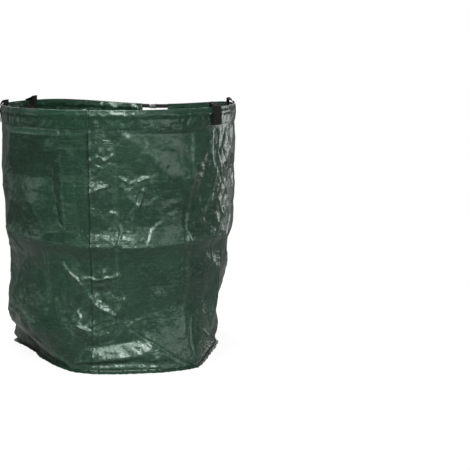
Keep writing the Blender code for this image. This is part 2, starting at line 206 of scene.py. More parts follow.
# Sharp small creases: path in photo pixels, height in millimetres and reach in millimetres
SHARP_CREASES = (
    (((90, 161), (97, 157), (104, 162), (112, 156)), 4.8, 8),
    (((93, 166), (103, 169), (110, 164)), 2.6, 7),
    (((88, 194), (96, 190), (106, 187)), 3.5, 7),
    (((88, 128), (100, 131), (116, 129)), 1.6, 6),
    (((120, 178), (130, 184), (141, 180), (158, 176)), 2.1, 8),
    (((122, 186), (128, 197), (138, 206)), 2.2, 8),
    (((138, 207), (141, 199), (144, 191)), 7.5, 7),
    (((138, 206), (150, 205), (156, 198)), 2.1, 7),
    (((131, 228), (131, 216), (136, 206)), 1.8, 6),
    (((110, 213), (116, 214), (118, 222), (121, 232), (118, 246)), 4.6, 6),
    (((88, 247), (100, 247), (110, 248), (117, 244), (122, 248), (137, 248)), 2.4, 9),
    (((6, 228), (43, 240), (88, 247)), 1.8, 9),
    (((137, 248), (160, 246), (187, 241), (226, 234)), 2.0, 9),
    (((187, 243), (188, 235), (190, 241)), 5.5, 6),
    (((148, 246), (152, 232), (160, 223)), 2.5, 9),
    (((64, 264), (67, 270), (69, 271), (74, 277), (77, 278), (82, 285)), 6.0, 6),
    ((
        (82, 284), (83, 279), (90, 278), (94, 280), (101, 280), (106, 278), (113, 278), (118, 275),
    ), 5.5, 6),
    (((89, 284), (96, 287), (106, 284)), 2.8, 5),
    (((118, 275), (115, 282), (108, 286)), 3.4, 6),
    (((124, 299), (120, 307), (115, 315)), 6.4, 7),
    (((89, 296), (96, 305), (104, 310), (115, 315)), 2.2, 7),
    (((72, 305), (77, 313), (82, 320)), 2.4, 7),
    (((61, 310), (66, 320), (75, 330)), 2.4, 7),
    (((77, 326), (82, 328), (90, 331)), 5.0, 6),
    (((86, 296), (90, 301)), 2.2, 5),
    (((90, 326), (102, 320), (114, 318)), 2.4, 9),
    (((101, 343), (112, 341), (119, 330)), -2.8, 7),
    (((88, 358), (104, 353), (118, 349), (138, 346)), 1.6, 9),
    (((96, 353), (106, 350), (112, 352)), 1.6, 5),
    (((152, 360), (158, 357), (166, 360), (168, 354)), 2.6, 5),
    (((115, 165), (115, 213)), 1.4, 6),
    (((117, 250), (117, 290)), 1.6, 6),
    (((195, 130), (193, 178), (187, 240)), 1.6, 7),
    (((189, 246), (188, 280), (184, 308), (185, 332)), 1.8, 7),
    (((190, 318), (190, 341), (193, 358)), -3.0, 7),
    (((43, 252), (46, 284)), -1.6, 7),
    (((130, 329), (153, 343), (176, 358), (190, 366)), -3.2, 7),
    (((9, 226), (16, 240), (23, 250)), 3.6, 8),
    (((219, 132), (217, 150), (220, 172), (227, 192)), 3.4, 8),
    (((226, 126), (222, 146), (228, 168)), 2.8, 7),
    (((224, 208), (214, 238), (211, 262)), 3.2, 9),
    (((230, 216), (222, 240), (219, 262)), 2.6, 8),
    (((8, 124), (4, 150), (8, 176)), 2.6, 8),
    (((14, 298), (24, 309), (34, 322), (44, 339), (58, 355), (70, 366)), 4.0, 7),
    (((12, 304), (20, 312), (27, 318)), 2.6, 7),
    (((28, 305), (33, 315), (36, 318)), 2.4, 6),
    (((217, 266), (214, 298), (207, 329), (197, 355), (193, 368)), 4.2, 7),
    (((206, 338), (211, 345), (213, 350)), 3.6, 5),
    (((205, 342), (210, 352)), 2.8, 5),
    (((128, 326), (150, 314), (158, 316)), 1.4, 8),
    (((64, 290), (66, 312)), -2.6, 7),
    (((47, 252), (47, 268), (50, 292), (48, 312)), -2.4, 8),
    (((58, 300), (62, 318), (74, 336)), 3.0, 8),
    (((84, 300), (83, 312), (81, 322)), -3.4, 7),
    (((96, 330), (104, 326), (118, 322)), 2.6, 9),
    (((10, 306), (16, 316), (22, 330)), 3.0, 6),
    (((20, 300), (29, 310), (37, 320)), -2.6, 6),
    (((202, 330), (206, 340), (203, 356)), 3.4, 5),
    (((209, 330), (208, 342), (204, 352)), -3.0, 5),
    (((222, 178), (217, 198), (222, 214)), 3.6, 7),
    (((216, 168), (212, 196), (206, 214)), 2.6, 9),
    (((213, 130), (211, 152), (214, 166)), 2.4, 7),
)

# Where the sheet is most crumpled: photo pixel, reach in millimetres and strength
CRUMPLED_SPOTS = (
    (100, 160, 60, 1.0), (97, 190, 60, 1.0), (138, 190, 80, 1.2), (118, 225, 70, 1.0),
    (100, 282, 70, 1.2), (82, 330, 70, 1.2), (112, 305, 60, 0.8), (112, 350, 70, 0.3),
    (160, 358, 60, 1.4), (20, 310, 90, 1.2), (208, 340, 70, 1.4), (188, 240, 40, 1.0),
    (222, 160, 120, 1.0), (6, 160, 90, 0.8), (140, 320, 70, 0.6),
)


# Small helpers

def mix(a, b, share):
    return a + (b - a) * share


def ease(share):
    """0 to 1 with a soft start and end, for a number or an array."""
    share = np.clip(share, 0.0, 1.0)
    return share * share * (3 - 2 * share)


def bell(distance, reach):
    """1 at no distance, falling away like a bell over the reach."""
    return math.exp(-(distance / reach) ** 2)


def arc_angle(length):
    return math.degrees(length / RIM_RADIUS)


def turn_between(angle, other):
    return (angle - other + FULL_TURN / 2) % FULL_TURN - FULL_TURN / 2


def distance_round(angle):
    """Distance round the unrolled wall, from minus to plus half its girth."""
    return math.radians(turn_between(angle, 0.0)) * RIM_RADIUS


def nearest_way(distance):
    """A distance round the wall, taken the short way."""
    return (distance + GIRTH / 2) % GIRTH - GIRTH / 2


def rim_top(angle):
    """Height of the top of the hem, which dips towards the window at the back."""
    share = abs(turn_between(angle, WINDOW_ANGLE)) / BACK_DIP_REACH
    return RIM_HEIGHT - BACK_DIP * (1 - ease(share))


def polar(radius, angle, height):
    turn = math.radians(angle)
    return Vector((radius * math.cos(turn), radius * math.sin(turn), height))


def outwards(point):
    return Vector((point.x, point.y, 0)).normalized()


def window_ends():
    half = arc_angle(WINDOW_LENGTH) / 2
    return WINDOW_ANGLE - half, WINDOW_ANGLE + half


def joint_angle():
    """Middle of the lap of the hoop."""
    return WINDOW_ANGLE + arc_angle(HOOP_STEP_LENGTH) / 2


def blurred(grid, cells, axis, wrap):
    """A grid of numbers smoothed along one axis."""
    reach = int(3 * cells) + 1
    weights = np.exp(-0.5 * (np.arange(-reach, reach + 1) / cells) ** 2)
    weights /= weights.sum()
    margins = [(0, 0), (0, 0)]
    margins[axis] = (reach, reach)
    padded = np.pad(grid, margins, mode="wrap" if wrap else "edge")
    count = grid.shape[axis]
    total = np.zeros_like(grid)
    for i, weight in enumerate(weights):
        total += weight * np.take(padded, range(i, i + count), axis)
    return total


def softened(grid, cells):
    """A grid of the wall smoothed up it and round it."""
    return blurred(blurred(grid, cells, 0, False), cells, 1, True)


def read_grid(grid, column, row):
    """Value of a grid of the wall between its columns and rows."""
    i, j = int(column), min(int(row), ROWS - 1)
    here, beside = (mix(grid[j, k % COLUMNS], grid[j + 1, k % COLUMNS], row - j)
                    for k in (i, i + 1))
    return mix(here, beside, column - i)


def cells_over(values, start, step, last):
    """First and last cell, from 0 to last, of a grid that a span of values covers."""
    low, high = (min(values) - start) / step, (max(values) - start) / step
    return max(0, math.floor(low)), min(last, math.ceil(high))


# The camera, worked out from the edges of the bag's mouth and foot in the photograph

class Viewpoint:
    """Camera place and aim, and the pixel at which it sees a point."""

    def __init__(self, view):
        self.focal = view.focal_pixels
        self.azimuth = math.radians(view.azimuth)
        heading = self.azimuth - math.radians(view.turn)
        pitch = math.radians(view.pitch)
        away = view.distance
        self.place = Vector((away * math.sin(self.azimuth), -away * math.cos(self.azimuth),
                             view.height))
        level = Vector((-math.sin(heading), math.cos(heading), 0.0))
        self.right = Vector((math.cos(heading), math.sin(heading), 0.0))
        self.ahead = level * math.cos(pitch) - Vector((0, 0, 1)) * math.sin(pitch)
        self.up = self.right.cross(self.ahead)

    def pixel(self, point):
        seen = point - self.place
        scale = self.focal / seen.dot(self.ahead)
        middle = IMAGE_SIZE / 2
        return middle + seen.dot(self.right) * scale, middle - seen.dot(self.up) * scale


# The wall, drawn on a grid that is unrolled from the frame's own panels

class Wall:
    """The wall's radius on a grid of rows (heights) and columns (angles), with its folds."""

    def __init__(self, size, view):
        self.size = size
        self.view = view
        self.angles = np.arange(COLUMNS) * COLUMN_TURN - FULL_TURN / 2
        self.tops = np.array([rim_top(a) - HEM_DEPTH for a in self.angles])
        levels = np.arange(ROWS + 1) / ROWS
        self.heights = SEAM_LEVEL + (self.tops[None, :] - SEAM_LEVEL) * levels[:, None]
        self.around = (np.arange(COLUMNS) * COLUMN_STEP - GIRTH / 2)[None, :]
        self.up = (np.arange(ROWS + 1) * ROW_STEP)[:, None]
        self.radius = self.measured()
        self.relief = np.zeros_like(self.radius)
        self.fold()
        self.folded = self.radius + self.relief

    def measured(self):
        """The frame's own wall, read by rays towards its axis and then smoothed."""
        points, faces = [], []
        for name in ("wall_panel_right", "wall_panel_left"):
            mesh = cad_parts[name].data
            start = len(points)
            points += [v.co.copy() for v in mesh.vertices]
            faces += [[start + i for i in p.vertices] for p in mesh.polygons]
        tree = BVHTree.FromPolygons(points, faces)
        radius = np.zeros_like(self.heights)
        lowest = WALL_FOOT + FIRST_ROW_LIFT
        for column, angle in enumerate(self.angles):
            out, highest = polar(1.0, angle, 0.0), self.tops[column] - SHEET
            for row in range(ROWS + 1):
                height = min(max(self.heights[row, column], lowest), highest)
                hit = tree.ray_cast(out + Vector((0, 0, height)), -out)[0]
                radius[row, column] = math.hypot(hit.x, hit.y) if hit else RIM_RADIUS
        radius = blurred(radius, self.size.smoothing_turn / COLUMN_TURN, 1, True)
        return blurred(radius, self.size.smoothing_rise / ROW_STEP, 0, False)

    def place(self, angle, level):
        """A point of the smooth wall."""
        column = (angle + FULL_TURN / 2) / COLUMN_TURN % COLUMNS
        row = min(max(level, 0.0), 1.0) * ROWS
        top = rim_top(angle) - HEM_DEPTH
        return polar(read_grid(self.radius, column, row), angle, mix(SEAM_LEVEL, top, level))

    def spot(self, x, y):
        """Place on the unrolled wall (distance round, height up) of a photo pixel."""
        share = max(-EDGE_SHARE, min(EDGE_SHARE, (x - BAG_AXIS_X) / BAG_HALF_WIDTH))
        angle = math.degrees(self.view.azimuth) - FULL_TURN / 4 + math.degrees(math.asin(share))
        level = (BAG_FOOT_Y - y) / (BAG_FOOT_Y - BAG_TOP_Y)
        turn_step, level_step = 0.5, 0.01
        most_turn, most_rise = 6.0, 0.2
        lowest, flattest, tries = -0.02, 1.0, 8
        for _ in range(tries):
            here, turned, raised = (
                self.view.pixel(self.place(angle + turn, level + rise))
                for turn, rise in ((0.0, 0.0), (turn_step, 0.0), (0.0, level_step))
            )
            across = ((turned[0] - here[0]) / turn_step, (raised[0] - here[0]) / level_step)
            upright = ((turned[1] - here[1]) / turn_step, (raised[1] - here[1]) / level_step)
            scale = across[0] * upright[1] - across[1] * upright[0]
            if abs(scale) < flattest:
                break
            miss = (x - here[0], y - here[1])
            turn = (miss[0] * upright[1] - miss[1] * across[1]) / scale
            rise = (miss[1] * across[0] - miss[0] * upright[0]) / scale
            angle += max(-most_turn, min(most_turn, turn))
            level += max(-most_rise, min(most_rise, rise))
            level = max(lowest, min(1.0, level))
        return distance_round(angle), level * WALL_HEIGHT

    def facets(self, points, heights, edges=()):
        """Flat facets between points of the unrolled wall, which repeats round the bag."""
        points, heights, edges = list(points), list(heights), list(edges)
        margin, count = GIRTH / 6, len(points)
        for shift in (-GIRTH, GIRTH):
            copied = {}
            for i in range(count):
                moved = points[i][0] + shift
                if abs(moved) < GIRTH / 2 + margin:
                    copied[i] = len(points)
                    points.append((moved, points[i][1]))
                    heights.append(heights[i])
            edges += [(copied[a], copied[b]) for a, b in edges if a in copied and b in copied]
        same_point, no_area, on_edge = 1e-7, 1e-14, -1e-9
        made, _, faces, origins, _, _ = geometry.delaunay_2d_cdt(
            [Vector(p) for p in points], edges, [], 0, same_point)
        known = {i: heights[origin[0]] for i, origin in enumerate(origins) if origin}
        values = np.zeros(len(made))
        for i, place in enumerate(made):
            near = [i] if i in known else sorted(known, key=lambda k: (made[k] - place).length)[:2]
            values[i] = sum(known[k] for k in near) / len(near)
        layer = np.zeros_like(self.radius)
        for face in faces:
            a, b, c = (made[i] for i in face[:3])
            first, last = cells_over((a.x, b.x, c.x), -GIRTH / 2, COLUMN_STEP, COLUMNS - 1)
            low, high = cells_over((a.y, b.y, c.y), 0.0, ROW_STEP, ROWS)
            area = (b.y - c.y) * (a.x - c.x) + (c.x - b.x) * (a.y - c.y)
            if first > last or low > high or abs(area) < no_area:
                continue
            s, t = self.around[:, first:last + 1], self.up[low:high + 1]
            u = ((b.y - c.y) * (s - c.x) + (c.x - b.x) * (t - c.y)) / area
            v = ((c.y - a.y) * (s - c.x) + (a.x - c.x) * (t - c.y)) / area
            w = 1 - u - v
            inside = (u >= on_edge) & (v >= on_edge) & (w >= on_edge)
            value = u * values[face[0]] + v * values[face[1]] + w * values[face[2]]
            layer[low:high + 1, first:last + 1][inside] = value[inside]
        return layer

    def crumples(self, seed, spacing):
        """Facets between scattered points with chance heights from -1 to 1."""
        chance = np.random.default_rng(seed)
        scatter = 0.45
        points, heights = [], []
        columns = round(GIRTH / spacing)
        for j in range(-1, math.ceil(WALL_HEIGHT / spacing) + 2):
            for i in range(columns):
                shift = chance.uniform(-scatter, scatter, 2)
                along = (i + 0.5 * (j % 2) + shift[0]) * GIRTH / columns
                points.append((nearest_way(along), (j + shift[1]) * spacing))
                heights.append(chance.uniform(-1, 1))
        return self.facets(points, heights)

    def crease(self, path, height, reach):
        """A sharp crease along a path of the unrolled wall."""
        sharpness, no_length = 1.3, 1e-12
        nearest = np.full_like(self.relief, reach)
        for (s0, t0), (s1, t1) in zip(path, path[1:]):
            ds, dt = distance_round(arc_angle(s1 - s0)), t1 - t0
            off, rise = nearest_way(self.around - s0), self.up - t0
            share = np.clip((off * ds + rise * dt) / max(ds * ds + dt * dt, no_length), 0, 1)
            nearest = np.minimum(nearest, np.hypot(off - share * ds, rise - share * dt))
        self.relief += height * (1 - nearest / reach) ** sharpness

    def seen_folds(self):
        """Points, heights and edges of the folds that the photograph shows."""
        points, heights, edges = [], [], []
        for line in [*FOLD_LINES.values(), *([spot] for spot in FOLD_SPOTS)]:
            for k, (x, y, out) in enumerate(line):
                if k:
                    edges.append((len(points) - 1, len(points)))
                points.append(self.spot(x, y))
                heights.append(out * MM * self.size.fold_scale)
        return points, heights, edges

    def scatter_facets(self, points, heights):
        """Chance facets of the sheet, away from the folds that the photograph shows."""
        scatter, clear_of_folds, edge_share = 0.4, 0.6, 0.3
        spacing = self.size.facet_size
        seen = np.array(points)
        chance = np.random.default_rng(self.size.seed)
        columns, rows = round(GIRTH / spacing), round(WALL_HEIGHT / spacing)
        for j in range(rows + 1):
            for i in range(columns):
                shift = chance.uniform(-scatter, scatter, 2)
                spread = chance.uniform(-1, 1)
                s = ((i + 0.5 * (j % 2) + shift[0]) / columns - 0.5) * GIRTH
                t = min(max((j + shift[1] * (0 < j < rows)) * spacing, 0.0), WALL_HEIGHT)
                if np.hypot(seen[:, 0] - s, seen[:, 1] - t).min() > clear_of_folds * spacing:
                    share = edge_share if j in (0, rows) else 1.0
                    points.append((s, t))
                    heights.append(spread * self.size.facet_height * share)

    def fold(self):
        """The bag's folds: those that the photograph shows, storage folds behind, and crumples."""
        size = self.size
        facet_softness, crumple_softness = 0.9, 0.5
        kept_at_foot, lost_at_foot = 0.7, 0.3
        points, heights, edges = self.seen_folds()
        self.scatter_facets(points, heights)
        self.relief = softened(self.facets(points, heights, edges), facet_softness)
        for path, height, reach in SHARP_CREASES:
            places = [self.spot(x, y) for x, y in path]
            self.crease(places, height * MM * size.crease_scale, reach * MM)
        self.storage_creases()
        crumpled = self.crumple_mask()
        for seed, finer, lower in CRUMPLE_LAYERS:
            layer = self.crumples(seed, size.crumple_size / finer)
            self.relief += layer * (size.crumple_height / lower) * crumpled
        self.relief = softened(self.relief, crumple_softness)
        self.relief *= ease((WALL_HEIGHT - self.up) / size.hem_fade)
        self.relief *= kept_at_foot + lost_at_foot * ease(self.up / size.foot_fade)
        self.relief += self.gathers()

    def storage_creases(self):
        """The sharp lines that the bag keeps from being folded flat in its packet."""
        chance = np.random.default_rng(self.size.seed + 1)
        usual = self.size.storage_height
        shortest, longest, overlap, waver = 22, 40, 2.0, 0.006
        across_reach, upright_reach, stations = 0.012, 0.011, 9
        for level, strength in STORAGE_LEVELS.items():
            start = STORAGE_START
            while start < STORAGE_END:
                end = start + chance.uniform(shortest, longest)
                path = [(distance_round(mix(start, end, k / 4)),
                         (level + chance.uniform(-waver, waver)) * WALL_HEIGHT) for k in range(5)]
                self.crease(path, usual * chance.uniform(0.6, 1.2) * strength, across_reach)
                start = end - overlap
        for angle in STORAGE_ANGLES:
            levels = np.linspace(0.04, 0.97, stations)
            wander = np.cumsum(chance.uniform(-0.5, 0.5, stations))
            path = [(distance_round(angle + turn), level * WALL_HEIGHT)
                    for turn, level in zip(wander, levels)]
            for piece in zip(path, path[1:]):
                self.crease(piece, usual * chance.uniform(-0.9, 0.9), upright_reach)

    def crumple_mask(self):
        """How crumpled the sheet is: by the spots that are seen, and by chance behind."""
        mask = np.full_like(self.relief, self.size.calm_share)
        for x, y, reach, strength in CRUMPLED_SPOTS:
            s, t = self.spot(x, y)
            away = nearest_way(self.around - s) ** 2 + (self.up - t) ** 2
            mask += strength * np.exp(-away / (reach * MM / 2) ** 2)
        patch_softness, edge_softness = 10, 12
        contrast, usual, most = 2.2, 0.35, 1.2
        patches = softened(self.crumples(PATCH_SEED, PATCH_SIZE), patch_softness)
        behind = (np.abs(self.angles - BACK_MIDDLE) < BACK_HALF)[None, :] * 1.0
        behind = blurred(behind, edge_softness, 1, True)
        return mask + behind * np.clip(patches * contrast + usual, 0, most)

    def gathers(self):
        """Small upright puckers below the hem's stitches and above the base seam."""
        size = self.size
        seam_edge, foot_strength, evenness = 0.006, 2.0, 2.2
        turn = (np.arange(COLUMNS) * COLUMN_STEP)[None, :] / GIRTH * 2 * math.pi
        chance = np.random.default_rng(size.seed + 2)
        wave = sum(np.sin(turn * count + chance.uniform(0, 2 * math.pi)) / evenness
                   for count in GATHER_COUNTS)
        from_hem = WALL_HEIGHT - self.up
        below_hem = np.exp(-from_hem / size.gather_length) * ease(from_hem / seam_edge)
        above_foot = np.exp(-self.up / size.gather_length)
        return wave * size.gather_height * (below_hem + foot_strength * above_foot)


# Meshes

def placed(name, data):
    """An object of the scene that holds this mesh, lamp or camera."""
    made = bpy.data.objects.new(name, data)
    bpy.context.scene.collection.objects.link(made)
    return made


def mesh_object(name, points, faces, material, uvs=None, floats=None):
    """A piece with its mesh, material, cloth coordinates and values for each point."""
    mesh = bpy.data.meshes.new(name)
    mesh.from_pydata([tuple(p) for p in points], [], faces)
    if uvs is not None:
        layer = mesh.uv_layers.new(name="cloth")
        corners = np.zeros(len(mesh.loops), np.int32)
        mesh.loops.foreach_get("vertex_index", corners)
        layer.data.foreach_set("uv", np.asarray(uvs, np.float32)[corners].ravel())
    for key, values in (floats or {}).items():
        attribute = mesh.attributes.new(key, "FLOAT", "POINT")
        attribute.data.foreach_set("value", np.asarray(values, np.float32))
    mesh.materials.append(material)
    mesh.shade_smooth()
    return placed(name, mesh)


def grid_faces(columns, rows, wrap_columns=False, wrap_rows=False):
    """Quads of a grid whose points run column by column."""
    faces = []
    for i in range(columns if wrap_columns else columns - 1):
        for j in range(rows if wrap_rows else rows - 1):
            k, m = (i + 1) % columns, (j + 1) % rows
            faces.append((i * rows + j, k * rows + j, k * rows + m, i * rows + m))
    return faces


@contextmanager
def edited(piece):
    """The mesh of a piece, open for edits and put back smooth."""
    data = bmesh.new()
    data.from_mesh(piece.data)
    yield data
    data.to_mesh(piece.data)
    data.free()
    piece.data.shade_smooth()


def face_outwards(piece, sharp_angle):
    """Turn the faces of a closed piece out, and keep its edges sharp from this angle on."""
    with edited(piece) as data:
        bmesh.ops.recalc_face_normals(data, faces=data.faces)
    piece.data.set_sharp_from_angle(angle=math.radians(sharp_angle))
    return piece


def dress(piece, body, node=None):
    """Tie a finished piece to its body and the frame's node that it stands for."""
    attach(piece, body)
    if node:
        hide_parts(node)


def squash_with_rim(piece):
    """Give the piece its own copy of its mesh."""
    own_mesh(piece)


# Shader maths

class Wire:
    """One output of a material's nodes, with Python's operators for its maths."""

    def __init__(self, finish, socket):
        self.finish = finish
        self.socket = socket

    def math(self, operation, *values):
        return self.finish.node("ShaderNodeMath", {"operation": operation}, values)

    def __add__(self, other):
        return self.math("ADD", self, other)

    def __sub__(self, other):
        return self.math("SUBTRACT", self, other)

    def __rsub__(self, other):
        return self.math("SUBTRACT", other, self)

    def __mul__(self, other):
        return self.math("MULTIPLY", self, other)

    __radd__ = __add__
    __rmul__ = __mul__

    def absolute(self):
        return self.math("ABSOLUTE", self)

    def sine(self):
        return self.math("SINE", self)

    def floor(self):
        return self.math("FLOOR", self)

    def remainder(self, other):
        return self.math("FLOORED_MODULO", self, other)

    def power(self, other):
        return self.math("POWER", self, other)

    def highest(self, other):
        return self.math("MAXIMUM", self, other)

    def between(self, low, high):
        """0 below low and 1 above high, with a soft step."""
        soft = {"interpolation_type": "SMOOTHSTEP"}
        return self.finish.node("ShaderNodeMapRange", soft, (self, low, high))


class Finish:
    """The nodes of a material or of the world."""

    def __init__(self, owner):
        self.owner = owner
        owner.use_nodes = True
        self.tree = owner.node_tree
        self.tree.nodes.clear()

    def node(self, kind, settings=None, sockets=(), output=0):
        """Add a node, set it up, link its sockets and return one of its outputs."""
        made = self.tree.nodes.new(kind)
        for key, value in (settings or {}).items():
            setattr(made, key, value)
        for key, value in sockets.items() if isinstance(sockets, dict) else enumerate(sockets):
            if isinstance(value, Wire):
                self.tree.links.new(value.socket, made.inputs[key])
            else:
                made.inputs[key].default_value = value
        return Wire(self, made.outputs[output]) if made.outputs else None

    def cloth(self):
        """Place on the cloth, then its distance round and up, in metres."""
        place = self.node("ShaderNodeUVMap", {"uv_map": "cloth"})
        return place, *(self.node("ShaderNodeSeparateXYZ", None, (place,), axis) for axis in (0, 1))

    def coordinates(self, kind="Object"):
        return self.node("ShaderNodeTexCoord", None, (), kind)

    def ray(self, kind):
        return self.node("ShaderNodeLightPath", None, (), kind)

    def stretched(self, vector, scale):
        return self.node("ShaderNodeMapping", None, {"Vector": vector, "Scale": scale})

    def noise(self, vector, scale, detail=2.0, roughness=0.5):
        return self.node("ShaderNodeTexNoise", None, {
            "Vector": vector, "Scale": scale, "Detail": detail, "Roughness": roughness})

    def grain(self, vector, stretch, scale=1.0, **sizes):
        """Noise drawn out along an axis."""
        return self.noise(self.stretched(vector, stretch), scale, **sizes)

    def blend(self, share, first, second):
        """Mix of two colours."""
        return self.node("ShaderNodeMix", {"data_type": "RGBA"}, {0: share, 6: first, 7: second}, 2)

    def value(self, name):
        """A value that each point of the piece carries."""
        return self.node("ShaderNodeAttribute", {"attribute_name": name}, (), "Fac")

    def vector(self, operation, *vectors, output=0):
        return self.node("ShaderNodeVectorMath", {"operation": operation}, vectors, output)

    def facets(self, vector, size):
        """Height of flat facets of about this size, each of which leans its own way."""
        tint = self.node("ShaderNodeTexVoronoi", {"voronoi_dimensions": "2D"},
                         {"Vector": vector, "Scale": 1 / size}, "Color")
        centre = Wire(self, tint.socket.node.outputs["Position"])
        lean = self.vector("SUBTRACT", tint, (0.5, 0.5, 0.5))
        away = self.vector("SUBTRACT", vector, centre)
        return self.vector("DOT_PRODUCT", lean, away, output="Value")

    def bump(self, height, depth, under=None):
        sockets = {"Height": height, "Distance": depth, "Strength": 1.0}
        if under is not None:
            sockets["Normal"] = under
        return self.node("ShaderNodeBump", None, sockets)

    def show(self, shader):
        """Use a shader as the surface, and return the material."""
        self.node("ShaderNodeOutputMaterial", None, {"Surface": shader})
        return self.owner

    def surface(self, sockets):
        return self.show(self.node("ShaderNodeBsdfPrincipled", None, sockets))


def new_finish(name):
    return Finish(bpy.data.materials.new(name))


def rgba(color):
    return (*color[:3], 1.0)


def darker(color, share):
    return rgba([c * share for c in color])


def woven(finish, around, up, tape):
    """Height of a plain weave of flat tapes."""
    flatness = 0.35
    half_turn = math.pi / tape
    warp = (around * half_turn).sine().absolute()
    weft = (up * half_turn).sine().absolute()
    parity = ((around * (1 / tape)).floor() + (up * (1 / tape)).floor()).remainder(2.0)
    return warp.power(flatness) * parity + weft.power(flatness) * (1.0 - parity)


def laminated_sheet(name, look):
    """Green laminated sheet, woven of flat tapes, with fine creases, worn ridges and painted shade.
    """
    finish = new_finish(name)
    place, around, up = finish.cloth()
    weave = woven(finish, around, up, look.tape_width)
    streaks = finish.grain(place, (14.0, 190.0, 1.0), detail=3.0, roughness=0.6)
    clouds = finish.noise(place, scale=5.5, detail=3.0, roughness=0.55)
    specks = finish.noise(place, scale=90.0, detail=3.0, roughness=0.6)
    crease = finish.value("crease")
    dark, mid, pale = rgba(look.dark_green), rgba(look.green), rgba(look.pale_green)
    streak_share, weave_share, wear_share, painted_shade_tone = 0.45, 0.10, 0.30, 0.25
    color = finish.blend(clouds.between(0.35, 0.68), dark, mid)
    color = finish.blend(streaks.between(0.35, 0.75) * streak_share, color, pale)
    color = finish.blend(weave * weave_share, color, dark)
    worn = (crease * wear_share) * specks.between(0.25, 0.7)
    color = finish.blend(worn, color, rgba(look.worn_green))
    # Painted shade: the sheet is darkened along the lapped seams, just under the hem and at the
    # foot, where shadow falls.
    color = finish.blend(finish.value("grime"), color, darker(look.dark_green, painted_shade_tone))
    roughness = (look.roughness + (clouds - 0.5) * 0.10) + crease * 0.05 + (streaks - 0.5) * 0.06
    fine = finish.grain(place, (1.0, 1.6, 1.0), scale=140.0, detail=3.0, roughness=0.6)
    folds = finish.noise(place, scale=38.0)
    ridged = 1.0 - ((folds - 0.5) * 6.0).absolute().power(0.6)
    wander = finish.noise(place, scale=14.0)
    bent = finish.vector("ADD", finish.stretched(place, (0.7, 1.0, 1.0)),
                         finish.node("ShaderNodeCombineXYZ", None, (wander * 0.03, wander * -0.03)))
    large, middling, small = (finish.facets(bent, size) * lean
                              for size, lean in ((0.034, 0.10), (0.013, 0.13), (0.0055, 0.10)))
    normal = finish.bump(large + middling + small, look.facet_lean)
    normal = finish.bump(weave, look.weave_depth, normal)
    for height, depth in ((fine, 1.0), (ridged, 1.5), (streaks, 2.0)):
        normal = finish.bump(height, look.crinkle_depth * depth, normal)
    return finish.surface({
        "Base Color": color, "Roughness": roughness, "Normal": normal, "Coat Weight": look.coat,
        "Coat Roughness": look.coat_roughness, "IOR": 1.5, "Specular IOR Level": look.shine,
        "Specular Tint": rgba(look.sheen_tint),
    })


def webbing_finish(name, look):
    """Black ribbed webbing, a little dusty on its ribs, with painted shade between them."""
    finish = new_finish(name)
    place, across, along = finish.cloth()
    rib_depth, fuzz_depth = 0.00022, 0.00010
    ribs = (across * (math.pi / look.rib_width)).sine().absolute()
    rib_number = (across * (1 / look.rib_width)).floor()
    picks = (along * (math.pi / look.pick_length) + rib_number * (math.pi / 2)).sine()
    height = ribs.power(0.5) + picks.absolute() * 0.6
    fuzz = finish.noise(place, scale=600.0, detail=3.0, roughness=0.7)
    patches = finish.noise(place, scale=60.0)
    # Painted shade: the webbing is darker between its ribs.
    color = finish.blend(height.between(0.6, 1.6), rgba(look.webbing_groove_shade), rgba(look.webbing))
    color = finish.blend(fuzz.between(0.45, 0.8) * patches, color, rgba(look.dusty_webbing))
    normal = finish.bump(fuzz, fuzz_depth, finish.bump(height, rib_depth))
    return finish.surface({"Base Color": color, "Roughness": 0.62 + fuzz * 0.25, "Normal": normal,
                           "Specular IOR Level": 0.2})


def hoop_finish(name, look):
    """Glossy dark strip that springs the mouth open, with rub marks along it."""
    finish = new_finish(name)
    place = finish.coordinates()
    rub_share, rub_depth = 0.5, 0.00008
    rubs = finish.grain(place, (6.0, 6.0, 900.0), detail=4.0, roughness=0.7)
    specks = finish.noise(place, scale=240.0, detail=3.0, roughness=0.7)
    rubbed = rubs.between(0.5, 0.8) * rub_share
    color = finish.blend(rubbed, rgba(look.hoop), rgba(look.hoop_rubbed))
    return finish.surface({"Base Color": color, "Roughness": 0.14 + specks * 0.22,
                           "Normal": finish.bump(rubs, rub_depth)})


def steel_finish(name, look):
    """Crimped steel with marks of the tool."""
    finish = new_finish(name)
    place = finish.coordinates()
    stain_share, brush_depth = 0.5, 0.00003
    brushed = finish.grain(place, (60.0, 2600.0, 2600.0), detail=3.0, roughness=0.6)
    stains = finish.noise(place, scale=120.0, detail=3.0, roughness=0.6)
    stained = stains.between(0.55, 0.75) * stain_share
    color = finish.blend(stained, rgba(look.steel), rgba(look.steel_dull))
    return finish.surface({"Base Color": color, "Metallic": 1.0, "Roughness": 0.22 + brushed * 0.22,
                           "Normal": finish.bump(brushed, brush_depth)})


def thread_finish(name, color):
    """Twisted polyester thread, with painted shade between its plies."""
    finish = new_finish(name)
    place = finish.coordinates()
    ply_groove_shade, ply_depth = 0.55, 0.00006
    plies = finish.node("ShaderNodeTexWave", {"bands_direction": "DIAGONAL"},
                        {"Vector": place, "Scale": 900.0, "Distortion": 1.0})
    fuzz = finish.noise(place, scale=1500.0)
    # Painted shade: the thread is darker between its plies.
    tone = finish.blend(plies * 0.6 + fuzz * 0.4, darker(color, ply_groove_shade), rgba(color))
    return finish.surface({"Base Color": tone, "Roughness": 0.55 + fuzz * 0.2,
                           "Normal": finish.bump(plies, ply_depth)})


def material(name, make, *args):
    """A finish, made once."""
    return bpy.data.materials.get(name) or make(name, *args)


def settings():
    return bpy.context.scene.leaf_bag


def sheet_material():
    return material("laminated_sheet", laminated_sheet, settings().look)


# What more than one operator needs, made once

_shared = {}


def viewpoint():
    if "viewpoint" not in _shared:
        _shared["viewpoint"] = Viewpoint(settings().view)
    return _shared["viewpoint"]


def wall():
    if "wall" not in _shared:
        _shared["wall"] = Wall(settings().folds, viewpoint())
    return _shared["wall"]


# The wall panels

